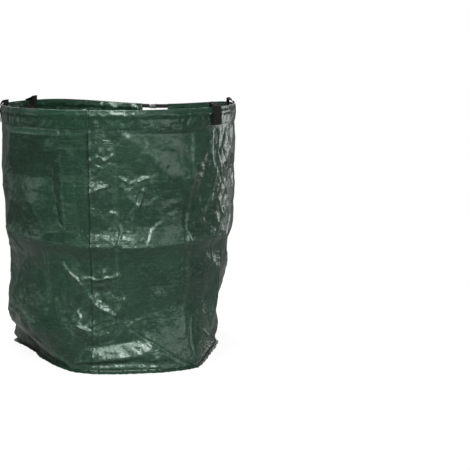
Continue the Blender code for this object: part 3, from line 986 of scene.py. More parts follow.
def crease_wear(relief):
    """How sharply the sheet is bent at each place, from 0 to 1, for worn ridges."""
    fully_worn = 0.35
    bend = np.zeros_like(relief)
    bend[1:-1] += np.abs(relief[2:] - 2 * relief[1:-1] + relief[:-2]) / ROW_STEP
    bend += np.abs(np.roll(relief, 1, 1) - 2 * relief + np.roll(relief, -1, 1)) / COLUMN_STEP
    return np.clip(bend / fully_worn, 0, 1)


def flange_height(share):
    """Height of the turned-out foot, from the base seam down to the ground."""
    return mix(SEAM_LEVEL, WALL_FOOT + SHEET, ease(share))


def edge_lift(size, from_edge):
    """How far the free edge of a panel curls off its neighbour."""
    return size.edge_curl * math.exp(-from_edge / size.edge_curl_reach)


def make_panel(name, node, start, end):
    """A wall panel, from its free edge to the edge under its neighbour, with its foot."""
    shape, size = wall(), settings().folds
    lap_columns = arc_angle(LAP) / COLUMN_TURN
    first = round((start + FULL_TURN / 2) / COLUMN_TURN)
    last = round((end + arc_angle(LAP) + FULL_TURN / 2) / COLUMN_TURN)
    wear = crease_wear(shape.relief)
    lap_end, seam_shadow_width, foot_shade_reach, hem_shade_reach = 3, 0.004, 0.003, 0.002
    ripples, wander, wanders = 190.0, 3.0, 23.0
    low_seam_shadow_share, seam_shadow_fade_height = 0.35, 0.12
    points, uvs, creases, grime = [], [], [], []
    for k in range(first, last + 1):
        column = k % COLUMNS
        angle = k * COLUMN_TURN - FULL_TURN / 2
        around = k * COLUMN_STEP
        lift = (SHEET + SEAT_GAP) * (1 - ease((k - first - lap_columns) / lap_end))
        lift += edge_lift(size, (k - first) * COLUMN_STEP)
        for m in range(FLANGE_ROWS, 0, -1):
            share = m / FLANGE_ROWS
            wave = math.sin(around * ripples + wander * math.sin(around * wanders))
            ripple = size.flange_ripple * share * wave
            out = shape.folded[0, column] + FLANGE * share + lift + ripple * 0.5
            points.append(polar(out, angle, flange_height(share * 1.05) + abs(ripple) * 0.6))
            uvs.append((around, -FLANGE * share))
            # Painted highlight: the outer row of the flange takes part of the paler worn colour, to
            # lighten the flange.
            creases.append(0.3 * (m == FLANGE_ROWS))
            # Painted shade in the corner where the flange meets the wall.
            grime.append(0.6 * (m == 1))
        # Painted shadow: a dark strip beside the neighbour's lifted free edge along the lapped
        # seam.
        to_seam = (last - k - lap_columns) * COLUMN_STEP
        seam_shadow = size.seam_shadow * bell(max(to_seam, -2 * COLUMN_STEP), seam_shadow_width)
        for row in range(ROWS + 1):
            up, from_hem = row * ROW_STEP, (ROWS - row) * ROW_STEP
            height = shape.heights[row, column]
            points.append(polar(shape.folded[row, column] + lift, angle, height))
            uvs.append((around, up))
            creases.append(wear[row, column])
            # The painted seam shadow is weaker low on the wall.
            fading = low_seam_shadow_share + (1 - low_seam_shadow_share) * ease((up - seam_shadow_fade_height) / seam_shadow_fade_height)
            # Painted shade: darker at the foot of the wall and just under the hem.
            grime.append(max(seam_shadow * fading, 0.6 * math.exp(-up / foot_shade_reach),
                             0.5 * math.exp(-from_hem / hem_shade_reach)))
    faces = grid_faces(last - first + 1, ROWS + 1 + FLANGE_ROWS)
    marks = {"crease": creases, "grime": grime}
    panel = mesh_object(name, points, faces, sheet_material(), uvs, marks)
    dress(panel, "base", node)
    squash_with_rim(panel)


class LEAFBAG_OT_walls(Operator):
    """Make the two creased wall panels of the bag"""

    bl_idname = "leafbag.walls"
    bl_label = "Wall panels"

    def execute(self, context):
        make_panel("creased_wall_right", "wall_panel_right", FRONT_SEAM_ANGLE, BACK_SEAM_ANGLE)
        make_panel("creased_wall_left", "wall_panel_left", BACK_SEAM_ANGLE, FRONT_TO_FRONT)
        return {"FINISHED"}


# The base

class LEAFBAG_OT_base(Operator):
    """Make the round base with its sewn edge"""

    bl_idname = "leafbag.base"
    bl_label = "Base panel"

    def execute(self, context):
        chance = np.random.default_rng(settings().folds.seed + 5)
        foot = wall().folded[0]
        rings, columns = 40, COLUMNS // 2
        wave_height, flat_edge, seam_width = 0.0012, 0.05, 0.012
        spread, narrow, wide, count = 0.3, 0.03, 0.09, 60
        bumps = [(*chance.uniform(-spread, spread, 2), chance.uniform(narrow, wide))
                 for _ in range(count)]
        points = []
        for i in range(columns):
            angle = i * FULL_TURN / columns - FULL_TURN / 2
            edge = foot[(i * 2) % COLUMNS]
            for j in range(rings + 1):
                radius = (edge + FLANGE - SHEET) * (j / rings)
                at = polar(radius, angle, 0.0)
                waves = sum(math.exp(-((at.x - x) ** 2 + (at.y - y) ** 2) / reach ** 2)
                            for x, y, reach in bumps)
                inner = ease((edge - radius) / flat_edge)
                seam = bell(radius - edge, seam_width) * (SEAM_LEVEL - 3 * SHEET)
                points.append((at.x, at.y, SHEET + wave_height * (waves % 1.0) * inner + seam))
        faces = grid_faces(columns, rings + 1, wrap_columns=True)
        uvs = [(x, y) for x, y, _ in points]
        base = mesh_object("base_floor", points, faces, sheet_material(), uvs)
        with edited(base) as data:
            bmesh.ops.remove_doubles(data, verts=data.verts, dist=1e-6)
        dress(base, "base", "base_panel")
        return {"FINISHED"}


# The hem

def hem_profile():
    """Outside of the hem: up its outer face, over the hoop and down the inner face."""
    rows, fold_rows = 18, 8
    first, last = SHEET * 1.05, POCKET_FOOT * 0.20
    slack, bulge_foot, bulge_length = 0.0009, POCKET_FOOT + 0.014, 0.012
    shoulder_depth, shoulder_foot = 0.75 * (HEM_BULGE - HEM_HALF * 0.5), POCKET_FOOT + 0.002
    roundness, top_lean = 0.5, 0.30
    outer = [(first, HEM_DEPTH)]
    for i in range(1, rows):
        down = mix(HEM_DEPTH, last, i / rows)
        loose = math.sin(math.pi * min(1.0, (HEM_DEPTH - down) / (HEM_DEPTH - POCKET_FOOT))) ** 0.7
        on_hoop = ease((bulge_foot - down) / bulge_length)
        shoulder = shoulder_depth * ease((shoulder_foot - down) / POCKET_FOOT)
        outer.append((mix(SHEET * 1.1 + slack * loose, HEM_BULGE, on_hoop) - shoulder, down))
    edge_out, edge_down = outer[-1]
    for i in range(1, fold_rows):
        turn = math.pi / 2 * i / fold_rows
        lean = 1 - top_lean * i / fold_rows
        out = edge_out * math.cos(turn) ** roundness * lean
        outer.append((out, edge_down * (1 - math.sin(turn))))
    return outer + [(0.0, 0.0)] + [(-out, down) for out, down in reversed(outer)]


def hem_crumples(size):
    """A grid of crumples of the wall's kind, for the two faces of the hem."""
    softness = 0.6
    return softened(sum(strength * wall().crumples(seed, size.crumple_size * share)
                        for seed, share, strength in HEM_LAYERS), softness)


def make_hem(name, node, start, end, seed):
    """One half of the folded hem, with the puckers of its stitches."""
    size = settings().folds
    chance = np.random.default_rng(seed)
    profile = hem_profile()
    column_turn, slant, any_phase = 0.25, 90, 6.28
    rows, columns = len(profile), round((end - start) / column_turn)
    waves = [(n, chance.uniform(0, any_phase), chance.uniform(0.5, 1.0))
             for n in (61, 89, 131, 173, 229, 307)]
    loose = [(n, chance.uniform(0, any_phase), chance.uniform(0.5, 1.0),
              chance.uniform(-slant, slant)) for n in (17, 29, 43, 67, 101)]
    layer = hem_crumples(size)
    pucker_length, edge_down, edge_width = 0.009, 0.001, 0.0015
    outer_up, inner_up, outer_share, inner_share, share_on_hoop = 0.10, 0.30, 0.8, 1.8, 0.3
    edge_wear, stitch_wear = 0.55, 0.3
    points, uvs, creases = [], [], []
    for i in range(columns + 1):
        angle = mix(start, end, i / columns)
        turn = math.radians(angle)
        around = turn * RIM_RADIUS
        pucker = sum(a * math.sin(n * turn + p) for n, p, a in waves) / 3
        along = 0.0
        for j, (out, down) in enumerate(profile):
            outer = j <= rows // 2
            near_stitch = math.exp(-(HEM_DEPTH - down) / pucker_length)
            slack = sum(a * math.sin(n * turn + p + d * down) for n, p, a, d in loose) / 3
            middle = math.sin(math.pi * min(1.0, max(0.0, (HEM_DEPTH - down) / HEM_DEPTH))) ** 0.8
            swell = size.hem_pucker * pucker * near_stitch * (1 if outer else -1)
            on_hoop = share_on_hoop if down <= POCKET_FOOT else 1.0
            swell += size.hem_slack * slack * middle * on_hoop
            row = ((outer_up if outer else inner_up) + down) / ROW_STEP
            crumple = read_grid(layer, (around + GIRTH / 2) / COLUMN_STEP % COLUMNS, row)
            swell += size.hem_crumple * crumple * middle * (outer_share if outer else inner_share)
            points.append(polar(RIM_RADIUS + out + swell, angle, rim_top(angle) - down))
            if j:
                along += math.dist((out, down), profile[j - 1])
            uvs.append((around, along))
            creases.append(edge_wear * math.exp(-abs(down - edge_down) / edge_width)
                           + stitch_wear * near_stitch ** 3)
    faces = grid_faces(columns + 1, rows)
    hem = mesh_object(name, points, faces, sheet_material(), uvs, {"crease": creases})
    pocket_ends(hem, columns, rows)
    dress(hem, "rim", node)
    around = math.radians(end - start) * RIM_RADIUS


def pocket_ends(hem, columns, rows):
    """Turn the open ends of the hem in, so that they show the thickness of the sheet."""
    depth = 0.006
    with edited(hem) as data:
        for column, neighbour in ((0, 1), (columns, columns - 1)):
            data.verts.ensure_lookup_table()
            ring = [data.verts[column * rows + j] for j in range(rows)]
            middle = sum((v.co for v in ring), Vector()) / rows
            inward = (data.verts[neighbour * rows].co - ring[0].co).normalized()
            inner = []
            for vert in ring:
                out = outwards(vert.co)
                side = out.dot(vert.co - middle)
                step = math.copysign(min(abs(side) * 0.5, SHEET * 0.8), side)
                inner.append(data.verts.new(vert.co - out * step + inward * SHEET))
            deep = [data.verts.new(vert.co + inward * depth) for vert in inner]
            for first, second in ((ring, inner), (inner, deep)):
                for j in range(rows - 1):
                    data.faces.new((first[j], first[j + 1], second[j + 1], second[j]))
        bmesh.ops.recalc_face_normals(data, faces=data.faces)


class LEAFBAG_OT_hem(Operator):
    """Make the two halves of the hem round the mouth"""

    bl_idname = "leafbag.hem"
    bl_label = "Hem"

    def execute(self, context):
        right_end, left_start = window_ends()
        left_end = FRONT_TO_FRONT - arc_angle(SEAT_GAP)
        make_hem("folded_hem_right", "hem_sleeve_right", FRONT_SEAM_ANGLE, right_end,
                 RIGHT_HEM_SEED)
        make_hem("folded_hem_left", "hem_sleeve_left", left_start, left_end,
                 LEFT_HEM_SEED)
        return {"FINISHED"}


# The hoop and its clip

def strip_mesh(name, sections, finish, uvs=None):
    """A closed strip through rings of points, with flat ends."""
    rows = len(sections[0])
    points = [p for section in sections for p in section]
    faces = grid_faces(len(sections), rows)
    faces += [(i * rows + rows - 1, (i + 1) * rows + rows - 1, (i + 1) * rows, i * rows)
              for i in range(len(sections) - 1)]
    faces += [tuple(range(rows)), tuple(range(len(points) - 1, len(points) - rows - 1, -1))]
    return face_outwards(mesh_object(name, points, faces, finish, uvs), sharp_angle=50)


def rounded_ring(half_thick, half_wide, corner, points=3):
    """Section of a flat strip with rounded edges, as (out, up)."""
    ring = []
    for sx, sy, start in ((1, 1, 0), (-1, 1, 90), (-1, -1, 180), (1, -1, 270)):
        for i in range(points):
            turn = math.radians(start + 90 * i / (points - 1))
            ring.append((sx * (half_thick - corner) + corner * math.cos(turn),
                         sy * (half_wide - corner) + corner * math.sin(turn)))
    return ring


class LEAFBAG_OT_hoop(Operator):
    """Make the sprung hoop and the clip that joins its ends"""

    bl_idname = "leafbag.hoop"
    bl_label = "Hoop and clip"

    def execute(self, context):
        look = settings().look
        self.make_hoop(material("hoop_plastic", hoop_finish, look))
        self.make_clip(material("crimped_steel", steel_finish, look))
        return {"FINISHED"}

    def make_hoop(self, finish):
        """A flat strip once round the rim, whose last part steps in behind its first."""
        half_lap = arc_angle(HOOP_OVERLAP) / 2
        start, end = joint_angle() - half_lap, joint_angle() + half_lap + FULL_TURN
        bend_end = start + FULL_TURN - arc_angle(SEAT_GAP)
        bend_start = bend_end - arc_angle(HOOP_STEP_LENGTH)
        ring = rounded_ring(HOOP_HALF, HOOP_WIDTH / 2, HOOP_HALF * 0.7)
        sections = []
        step = 0.75
        count = round((end - start) / step)
        for i in range(count + 1):
            angle = mix(start, end, i / count)
            bent = ease((angle - bend_start) / (bend_end - bend_start))
            radius = RIM_RADIUS - (HOOP_THICKNESS + SEAT_GAP) * bent
            middle = rim_top(angle) - HOOP_TOP - HOOP_WIDTH / 2
            sections.append([polar(radius + out, angle, middle + up) for out, up in ring])
        dress(strip_mesh("sprung_hoop", sections, finish), "rim", "hoop_strip")

    def make_clip(self, finish):
        """A tube of flat steel crimped over the lapped ends."""
        out_half = HOOP_HALF + SEAT_GAP + FERRULE_WALL
        in_half = HOOP_HALF + HOOP_THICKNESS + 2 * SEAT_GAP + FERRULE_WALL
        half_thick, radius = (out_half + in_half) / 2, RIM_RADIUS + (out_half - in_half) / 2
        half_wide = HOOP_WIDTH / 2 + SEAT_GAP + FERRULE_WALL
        middle = rim_top(joint_angle()) - HOOP_TOP - HOOP_WIDTH / 2
        stations, corner_points, flat_share = 28, 4, 0.8
        corner, bore_corner = FERRULE_WALL * 1.1, FERRULE_WALL * 0.3
        lip_height, lip_reach = 0.25 * FERRULE_WALL, 0.03
        crimp_depth, crimp_reach, crimps = 0.45 * FERRULE_WALL, 0.06, (0.32, 0.68)
        bore = rounded_ring(half_thick - FERRULE_WALL, half_wide - FERRULE_WALL, bore_corner,
                            corner_points)
        outer, inner = [], []
        for i in range(stations + 1):
            share = i / stations
            angle = joint_angle() + arc_angle(FERRULE_LENGTH) * (share - 0.5)
            lip = lip_height * math.exp(-min(share, 1 - share) / lip_reach)
            crimp = crimp_depth * sum(bell(share - place, crimp_reach) for place in crimps)
            ring = rounded_ring(half_thick + lip, half_wide + lip, corner, corner_points)
            outer.append([
                polar(radius + out - math.copysign(crimp, out) * (abs(up) < half_wide * flat_share),
                      angle, middle + up) for out, up in ring
            ])
            inner.append([polar(radius + out, angle, middle + up) for out, up in bore])
        sections = outer + inner[::-1]
        points = [p for section in sections for p in section]
        faces = grid_faces(len(sections), len(bore), wrap_columns=True, wrap_rows=True)
        clip = face_outwards(mesh_object("crimped_clip", points, faces, finish), sharp_angle=40)
        dress(clip, "rim", "hoop_ferrule")


# The handles

def pivot_of(side):
    """Middle of the fold line at which a handle turns: side is 1 right and -1 left."""
    across = math.radians(HANDLE_HALF_SPREAD)
    out = (RIM_RADIUS + TAB_OUT) * math.cos(across) - TAB_LEAN
    return Vector((side * out, 0.0, RIM_HEIGHT + TAB_RISE))


def half_chord():
    """Half the distance between the two ends of a handle."""
    return (RIM_RADIUS + TAB_OUT) * math.sin(math.radians(HANDLE_HALF_SPREAD))


def smooth_path(points, steps):
    """Points along a curve that passes smoothly through the given ones."""
    curve = []
    for i in range(len(points) - 1):
        before = points[max(i - 1, 0)]
        after = points[min(i + 2, len(points) - 1)]
        a, b = points[i], points[i + 1]
        for k in range(steps):
            t = k / steps
            curve.append(0.5 * (2 * a + (b - before) * t
                                + (2 * before - 5 * a + 4 * b - after) * t ** 2
                                + (3 * a - before - 3 * b + after) * t ** 3))
    return curve + [points[-1].copy()]


def webbing_section(steps=12):
    """Section of the webbing, with rounded edges and more points across its flat faces."""
    ring = rounded_ring(WEBBING / 2, WEBBING_WIDTH / 2, WEBBING * 0.45)
    section = []
    for (out, up), (_, next_up) in zip(ring, ring[1:] + ring[:1]):
        section.append((out, up))
        if abs(next_up - up) > WEBBING_WIDTH / 2:
            section += [(out, mix(up, next_up, i / steps)) for i in range(1, steps)]
    return section


def webbing_band(name, centres, across, first, last):
    """Webbing along a path, which it enters and leaves in the directions given."""
    flat = webbing_section()
    ahead = [after - before for before, after in zip(centres, centres[2:])]
    sections, uvs = [], []
    travelled = 0.0
    for i, (centre, way) in enumerate(zip(centres, [first, *ahead, last])):
        if i:
            travelled += (centre - centres[i - 1]).length
        side = (across[i] - way * (across[i].dot(way) / way.length_squared)).normalized()
        face = way.cross(side).normalized()
        sections.append([centre + side * wide + face * out for out, wide in flat])
        uvs += [(wide, travelled) for _, wide in flat]
    finish = material("black_webbing", webbing_finish, settings().look)
    return strip_mesh(name, sections, finish, uvs)


def make_tab(node, side, end):
    """A sewn end of the webbing: up the outside of the hem, then leaning in to the fold line."""
    stand_off, over_bulge, low_share, fold_share = 0.0012, 0.0004, 0.62, 0.55
    angle = (0.0 if side > 0 else FULL_TURN / 2) + side * end * HANDLE_HALF_SPREAD
    foot = RIM_RADIUS + SHEET + SEAT_GAP + WEBBING / 2 + stand_off
    start = polar(foot, angle, rim_top(angle) - HEM_DEPTH)
    out = TAB_OUT + HEM_BULGE - HEM_HALF + over_bulge
    low = polar(RIM_RADIUS + out, angle, RIM_HEIGHT - HEM_DEPTH * low_share)
    under_bulge = polar(RIM_RADIUS + out, angle, RIM_HEIGHT - POCKET_FOOT)
    over_hem = polar(RIM_RADIUS + TAB_OUT, angle, RIM_HEIGHT - SHEET)
    pivot = pivot_of(side) + Vector((0.0, end * half_chord(), 0.0))
    lean = pivot - over_hem
    top = pivot - lean.normalized() * FOLD_GAP * fold_share
    tangent = Vector((-math.sin(math.radians(angle)), math.cos(math.radians(angle)), 0.0))
    turned = Vector((0.0, side, 0.0))
    leaning = [over_hem + (top - over_hem) * share for share in (0.25, 0.5, 0.75)]
    centres = smooth_path([start, low, under_bulge, over_hem] + leaning + [top], 8)
    rise = [max(0.0, (c - over_hem).dot(lean) / lean.length_squared) for c in centres]
    across = [tangent.lerp(turned, ease(share / 0.75)) for share in rise]
    tab = webbing_band("sewn_" + node, centres, across, Vector((0.0, 0.0, 1.0)), lean)
    dress(tab, "rim", node)
    return centres, across


def make_loop(node, side, body):
    """The free loop of a handle, hanging inside the bag from its fold line."""
    pivot = pivot_of(side)
    inward = Vector((-side, 0.0, 0.0))
    down = Vector((0.0, 0.0, -1.0))
    along = Vector((0.0, side, 0.0))
    centres, across = [], []
    count, facing_start, facing_length = 96, 0.2, 0.75
    for i in range(count + 1):
        turn = math.pi * i / count
        centres.append(pivot + along * half_chord() * math.cos(turn)
                       + down * LOOP_DROP * math.sin(turn))
        flat = along * math.copysign(1.0, math.cos(turn))
        across.append(flat.lerp(inward, ease((math.sin(turn) - facing_start) / facing_length)))
    dress(webbing_band("free_" + node, centres, across, down, -down), body, node)


class LEAFBAG_OT_handles(Operator):
    """Make the two webbing handles"""

    bl_idname = "leafbag.handles"
    bl_label = "Handles"

    def execute(self, context):
        _shared["tabs"] = []
        for side, body in ((1, "handle_right"), (-1, "handle_left")):
            make_loop(f"{body}_loop", side, body)
            for end, place in ((1, "rear"), (-1, "front")):
                _shared["tabs"].append(make_tab(f"{body}_{place}_tab", side, end))
        return {"FINISHED"}


# The threads

def stitch_tree(name, finish, sizes):
    """Geometry nodes that lay one stitch after another along a path, with their sizes as inputs."""
    tree = bpy.data.node_groups.new(name, "GeometryNodeTree")
    face = tree.interface
    face.new_socket("Path", in_out="INPUT", socket_type="NodeSocketGeometry")
    for label, value in sizes.items():
        socket = face.new_socket(label, in_out="INPUT", socket_type="NodeSocketFloat")
        socket.default_value = value
    face.new_socket("Stitches", in_out="OUTPUT", socket_type="NodeSocketGeometry")

    def node(kind, settings=None, sockets=None):
        made = tree.nodes.new(kind)
        for key, value in (settings or {}).items():
            setattr(made, key, value)
        for key, value in (sockets or {}).items():
            if hasattr(value, "is_output"):
                tree.links.new(value, made.inputs[key])
            else:
                made.inputs[key].default_value = value
        return made.outputs

    given = node("NodeGroupInput")
    curve = node("GeometryNodeMeshToCurve", None, {"Mesh": given["Path"]})
    upright = node("GeometryNodeSetCurveNormal", {"mode": "Z_UP"}, {"Curve": curve["Curve"]})
    spread = node("GeometryNodeCurveToPoints", {"mode": "LENGTH"},
                  {"Curve": upright["Curve"], "Length": given["Pitch"]})
    bead = node("GeometryNodeMeshUVSphere", None, {"Segments": 6, "Rings": 5, "Radius": 0.5})
    size = node("ShaderNodeCombineXYZ", None, {
        "X": given["Thread"], "Y": given["Thread"], "Z": given["Stitch length"]})
    stitch = node("GeometryNodeTransform", None,
                  {"Geometry": bead["Mesh"], "Scale": size["Vector"]})
    laid = node("GeometryNodeInstanceOnPoints", None, {
        "Points": spread["Points"], "Instance": stitch["Geometry"], "Rotation": spread["Rotation"]})
    real = node("GeometryNodeRealizeInstances", None, {"Geometry": laid["Instances"]})
    dyed = node("GeometryNodeSetMaterial", None, {"Geometry": real["Geometry"], "Material": finish})
    node("NodeGroupOutput", None, {"Stitches": dyed["Geometry"]})
    return tree


def sew(name, paths, finish, share=1.0):
    """One piece of stitches along each of the paths, at a share of their usual size."""
    sewing = settings().sewing
    sizes = {"Pitch": sewing.pitch * share, "Stitch length": sewing.length * share,
             "Thread": sewing.thread}
    points, edges = [], []
    for path in paths:
        first = len(points)
        points += [tuple(p) for p in path]
        edges += [(first + i, first + i + 1) for i in range(len(path) - 1)]
    mesh = bpy.data.meshes.new(name + "_path")
    mesh.from_pydata(points, edges, [])
    path_object = placed(name + "_path", mesh)
    layer = path_object.modifiers.new("Stitches", "NODES")
    layer.node_group = stitch_tree(name, finish, sizes)
    for item in layer.node_group.interface.items_tree:
        if item.in_out == "INPUT" and item.name in sizes:
            layer[item.identifier] = sizes[item.name]
    graph = bpy.context.evaluated_depsgraph_get()
    sewn = bpy.data.meshes.new_from_object(path_object.evaluated_get(graph))
    bpy.data.objects.remove(path_object)
    sewn.materials.clear()
    sewn.materials.append(finish)
    sewn.shade_smooth()
    return placed(name, sewn)


class LEAFBAG_OT_threads(Operator):
    """Sew the hem, the seams, the base and the handle ends"""

    bl_idname = "leafbag.threads"
    bl_label = "Threads"

    def execute(self, context):
        look = settings().look
        green = material("green_thread", thread_finish, look.thread)
        dress(sew("hem_stitches", self.hem_paths(), green), "rim")
        for name, paths in (("side_seam_stitches", self.seam_paths()),
                            ("base_stitches", self.base_paths())):
            made = sew(name, paths, green)
            dress(made, "base")
            squash_with_rim(made)
        black = material("black_thread", thread_finish, look.black_thread)
        dress(sew("handle_stitches", self.tab_paths(), black, share=0.8), "rim")
        return {"FINISHED"}

    def hem_paths(self):
        """Round both faces of each half of the hem, just above its edge."""
        right_end, left_start = window_ends()
        margin, step, down = 0.3, 0.5, HEM_DEPTH - 0.0030
        paths = []
        for start, end in ((FRONT_SEAM_ANGLE + margin, right_end - margin),
                           (left_start + margin, FRONT_TO_FRONT - margin)):
            angles = np.linspace(start, end, round((end - start) / step))
            for face in (1, -1):
                radius = RIM_RADIUS + face * (SHEET * 1.05 + THREAD_LIFT)
                paths.append([polar(radius, angle, rim_top(angle) - down) for angle in angles])
        return paths

    def seam_paths(self):
        """Two rows of stitches up each seam of the wall."""
        shape = wall()
        lap_lift, insets = SHEET + SEAT_GAP + 0.0004, (0.004, 0.012)
        paths = []
        for seam in (FRONT_SEAM_ANGLE, BACK_SEAM_ANGLE):
            for inset in insets:
                angle = seam + arc_angle(inset)
                column = round((angle + FULL_TURN / 2) / COLUMN_TURN) % COLUMNS
                lift = lap_lift + edge_lift(settings().folds, inset)
                paths.append([
                    polar(shape.folded[row, column] + lift, angle, shape.heights[row, column])
                    for row in range(2, ROWS, 2)
                ])
        return paths

    def base_paths(self):
        """Round the turned-out foot of the wall."""
        foot = wall().folded[0]
        out, height = FLANGE * 0.4, flange_height(0.42) + 0.0005
        turns = [k * COLUMN_TURN - FULL_TURN / 2 for k in range(COLUMNS + 1)]
        return [[polar(foot[k % COLUMNS] + out + THREAD_LIFT, turn, height)
                 for k, turn in enumerate(turns)]]

    def tab_paths(self):
        """A box with a cross in it on each sewn end of the webbing."""
        paths = []
        half_box = WEBBING_WIDTH / 2 - 0.0035
        sewn_below, lift = RIM_HEIGHT - 0.006, WEBBING / 2 + 0.0002
        for centres, across in _shared["tabs"]:
            steps = [(centre + outwards(centre) * lift, aside.normalized())
                     for centre, aside in zip(centres, across) if centre.z < sewn_below][2:]
            for sign in (-1, 1):
                paths.append([p + a * half_box * sign for p, a in steps])
            for p, a in (steps[0], steps[-1]):
                paths.append([p + a * half_box * s for s in np.linspace(-1, 1, 5)])
            for sign in (-1, 1):
                paths.append([p + a * half_box * sign * mix(-1, 1, k / (len(steps) - 1))
                              for k, (p, a) in enumerate(steps)])
        return paths


# The stage

def add_softbox(name, place, size, power):
    """A wide lamp aimed at the middle of the bag."""
    light = bpy.data.lights.new(name, "AREA")
    light.shape = "RECTANGLE"
    light.size, light.size_y = size
    light.energy = power
    lamp = placed(name, light)
    lamp.location = place
    aim = Vector((0.0, 0.0, RIM_HEIGHT / 2)) - Vector(place)
    lamp.rotation_euler = aim.to_track_quat("-Z", "Y").to_euler()
    lamp.visible_camera = False


# Each softbox: its place, and its width and height
SOFTBOXES = {
    "key": ((0.85, -2.8, 2.0), (0.80, 0.42)),
    "side": ((2.05, 2.05, 0.5), (0.9, 0.86)),
    "back": ((-2.4, 1.3, 0.8), (0.3, 1.3)),
    "overhead": ((-0.2, -1.9, 3.1), (2.0, 1.2)),
    "front": ((1.0, -3.9, 1.6), (3.2, 1.4)),
    "right": ((3.0, -1.6, 0.75), (2.2, 0.9)),
    "left": ((-2.9, -0.9, 0.95), (1.3, 0.9)),
    "rear": ((-0.9, 3.3, 2.1), (2.8, 1.4)),
}
WHITE = (1.0, 1.0, 1.0, 1.0)


class LEAFBAG_OT_stage(Operator):
    """Set up the pale floor, the soft lamps and the camera"""

    bl_idname = "leafbag.stage"
    bl_label = "Stage"

    def execute(self, context):
        stage = settings().stage
        self.make_floor(stage)
        self.make_world(stage)
        for label, (place, size) in SOFTBOXES.items():
            add_softbox(label + "_softbox", place, size, getattr(stage, label + "_power"))
        self.make_camera()
        context.scene.view_settings.view_transform = "Standard"
        return {"FINISHED"}

    def make_floor(self, stage):
        """Grey paper that the camera sees fading to the white backdrop, darker close round the bag
        as a painted shadow.
        """
        mesh = bpy.data.meshes.new("studio_floor")
        edge = [tuple(polar(stage.floor_radius, angle, 0.0)) for angle in range(0, 360, 5)]
        mesh.from_pydata(edge, [], [tuple(range(len(edge)))])
        finish = new_finish("studio_floor")
        away = finish.vector("LENGTH", finish.coordinates(), output="Value")
        # Painted shadow: within the fade start the camera sees less of the white lift, so the floor
        # looks darker close round the bag, besides its real shadow on the paper.
        far = away.between(stage.floor_fade_start, stage.floor_fade_end)
        share = self.seen_share(finish, stage) * (stage.floor_lift + far * (1 - stage.floor_lift))
        paper = finish.node("ShaderNodeBsdfDiffuse", None, {"Color": rgba([stage.floor_shade] * 3)})
        white = finish.node("ShaderNodeEmission", None, {"Color": WHITE, "Strength": stage.white})
        finish.show(finish.node("ShaderNodeMixShader", None, {0: share, 1: paper, 2: white}))
        mesh.materials.append(finish.owner)
        placed("studio_floor", mesh)

    def seen_share(self, finish, stage):
        """1 for rays straight from the camera, and a share for those mirrored or let through."""
        mirrored = finish.ray("Is Glossy Ray") + finish.ray("Is Transmission Ray")
        return finish.ray("Is Camera Ray").highest(mirrored * stage.mirrored_share)

    def make_world(self, stage):
        """White to the camera, faint light all round, and a backdrop for the bag to mirror."""
        world = bpy.data.worlds.new("studio")
        finish = Finish(world)
        away = viewpoint().ahead
        behind = finish.vector("DOT_PRODUCT", finish.coordinates("Generated"),
                               (away.x, away.y, 0.0), output="Value")
        mirrored = behind.between(0.75, 1.0) * stage.backdrop_share
        share = finish.ray("Is Camera Ray").highest(self.seen_share(finish, stage) * mirrored)
        room, backdrop = (
            finish.node("ShaderNodeBackground", None, {"Color": WHITE, "Strength": strength})
            for strength in (stage.room_light, 1.0)
        )
        shown = finish.node("ShaderNodeMixShader", None, {0: share, 1: room, 2: backdrop})
        finish.node("ShaderNodeOutputWorld", None, {"Surface": shown})
        bpy.context.scene.world = world

    def make_camera(self):
        seen = viewpoint()
        data = bpy.data.cameras.new("camera")
        data.sensor_width = 36.0
        data.lens = data.sensor_width * seen.focal / IMAGE_SIZE
        camera = placed("camera", data)
        turned = Matrix((seen.right, seen.up, -seen.ahead)).transposed()
        camera.matrix_world = Matrix.Translation(seen.place) @ turned.to_4x4()
        bpy.context.scene.camera = camera


# Sizes and colours that a user would change

def number(name, description, default):
    return FloatProperty(name=name, description=description, default=default)


def metres(name, description, default):
    return FloatProperty(name=name, description=description, default=default, unit="LENGTH")


def watts(name, description, default):
    return FloatProperty(name=name, description=description, default=default, unit="POWER")


def paint(name, description, default):
    return FloatVectorProperty(name=name, description=description, default=default, subtype="COLOR")


class LeafBagView(PropertyGroup):
    azimuth: number("Azimuth", "Degrees round from the front", 16.0)
    distance: metres("Distance", "From the bag's axis", 3.780)
    height: metres("Height", "Above the floor", 0.932)
    pitch: number("Pitch", "Degrees down", 9.047)
    turn: number("Turn", "Degrees aside of the bag", 5.115)
    focal_pixels: number("Focal length", "In pixels of the photograph", 1293.3)


